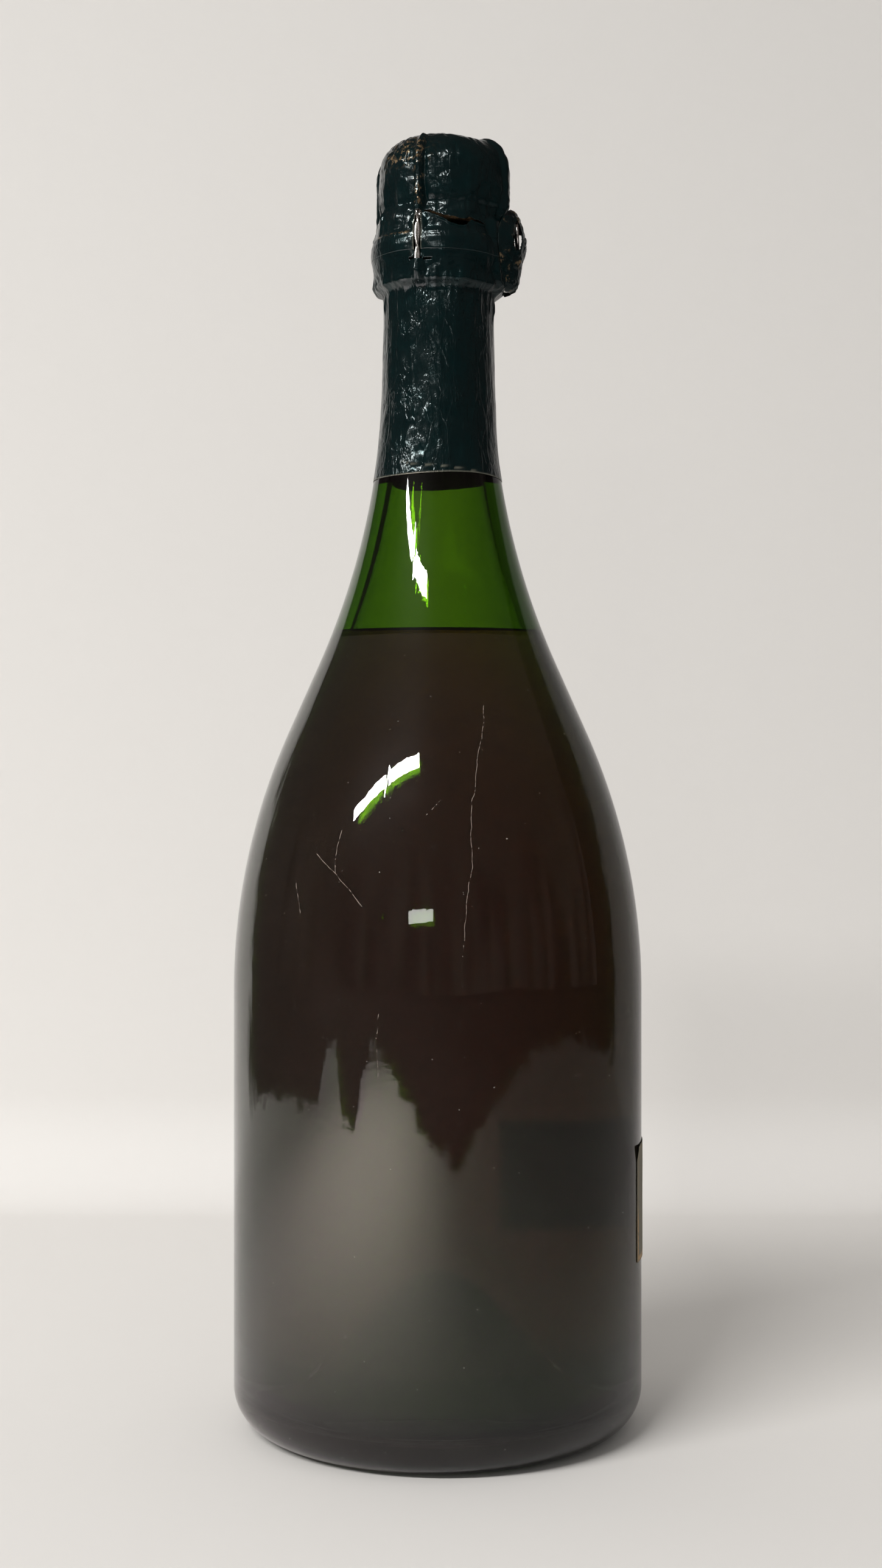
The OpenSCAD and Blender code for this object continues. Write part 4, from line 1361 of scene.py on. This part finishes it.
def make_stage():
    """Floor that sweeps up into a wall behind the bottle. From behind, the wall isn't there."""
    back_y = WALL_Y - SWEEP_R
    line = np.vstack([[[STAGE_FRONT_Y, 0]], arc(back_y, SWEEP_R, SWEEP_R, -90, 0, 24), [[WALL_Y, WALL_H]]])
    points = [[x, y, z] for y, z in line for x in (-STAGE_HALF_W, STAGE_HALF_W)]
    faces = [[2 * i, 2 * i + 1, 2 * i + 3, 2 * i + 2] for i in range(len(line) - 1)]
    finish = studio_finish()
    new_piece("studio_sweep", points, faces, finish)
    corners = [[-STAGE_HALF_W, back_y, 0], [STAGE_HALF_W, back_y, 0], [STAGE_HALF_W, -STAGE_FRONT_Y, 0],
        [-STAGE_HALF_W, -STAGE_FRONT_Y, 0]]
    new_piece("studio_floor_behind", corners, [[0, 1, 2, 3]], finish)


LAMP_COLOUR = (1, 0.985, 0.965)


def area_lamp(name, where, tilt, width, height, power):
    """A flat lamp whose width lies along X, tilted in degrees from facing down to facing back."""
    lamp = bpy.data.lights.new(name, "AREA")
    lamp.shape = "RECTANGLE"
    lamp.size = width
    lamp.size_y = height
    lamp.energy = power
    lamp.color = LAMP_COLOUR
    holder = add_object(name, lamp)
    holder.location = where
    holder.rotation_euler = (math.radians(tilt), 0, 0)


def make_lights():
    """A long strip lamp above the front left and a small far lamp, in a dim room."""
    area_lamp("strip_lamp", (-1.5, -1.66, 1.72), 48, 2.1, 0.13, 82)
    area_lamp("far_lamp", (-0.45, -2.5, 0.66), 82, 0.6, 0.11, 2)
    world = bpy.data.worlds.new("studio_room")
    bpy.context.scene.world = world
    world.use_nodes = True
    tree = world.node_tree
    tree.nodes.clear()
    way = tree.nodes.new("ShaderNodeTexCoord").outputs["Generated"]
    shelves = noise_value(scaled(way, (1, 1, 0.2)), 9.0, 4.0)
    level = mixed(spread(shelves, 0.38, 0.62), (0.015, 0.012, 0.012, 1), (0.12, 0.1, 0.09, 1))
    above = spread(axes(way)[2], 0.15, 0.6, smooth=True)
    room = mixed(above, level, (0.085, 0.065, 0.058, 1))
    ray = tree.nodes.new("ShaderNodeLightPath").outputs
    soft = mixed(ray["Is Diffuse Ray"], room, (0.37, 0.362, 0.355, 1))
    colour = mixed(ray["Is Camera Ray"], soft, (0.7, 0.685, 0.665, 1))
    background = put(tree, "ShaderNodeBackground", {"Color": colour, "Strength": 1.0})
    tree.links.new(background.outputs[0], tree.nodes.new("ShaderNodeOutputWorld").inputs[0])


# The camera is level, at the photograph's distance and height, in metres
CAMERA_SPOT = (0.00095, -0.6034, 0.1802)
CAMERA_LENS = 48.9


def make_camera():
    data = bpy.data.cameras.new("camera")
    data.sensor_fit = "VERTICAL"
    data.sensor_height = 36
    data.lens = CAMERA_LENS
    data.clip_start = 0.01
    camera = add_object("camera", data)
    camera.location = CAMERA_SPOT
    camera.rotation_euler = (math.radians(90), 0, 0)
    bpy.context.scene.camera = camera


def finish_node(node, material):
    """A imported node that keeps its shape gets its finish."""
    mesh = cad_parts[node].data
    mesh.materials.clear()
    mesh.materials.append(material)


make_camera()
make_lights()
make_stage()
place(turned("bottle_glass", glass_outline(), 192, GLASS), "bottle", "green_glass", "glass_bottle")
place(turned("bottle_wine", wine_outline(), 160, WINE), "bottle", "wine", "wine")
place(turned_sheet("glass_dust_film", film_outline(), 192, FILM), "bottle", "green_glass")
place(label_piece(), "bottle", "label_paper", "label")
place(neck_foil_piece(), "bottle", "foil", "neck_foil")
place(foil_hood_piece(), "hood", "foil", "foil_hood")
place(foil_tent_piece(), "loop", "foil", "foil_tab")
make_wires()
finish_node("cork_body", GRANULES)
finish_node("cork_disc_upper", CORK_DISC)
finish_node("cork_disc_lower", CORK_DISC)
finish_node("cap_plate", PLATE)

scene = bpy.context.scene
scene.view_settings.view_transform = "Standard"
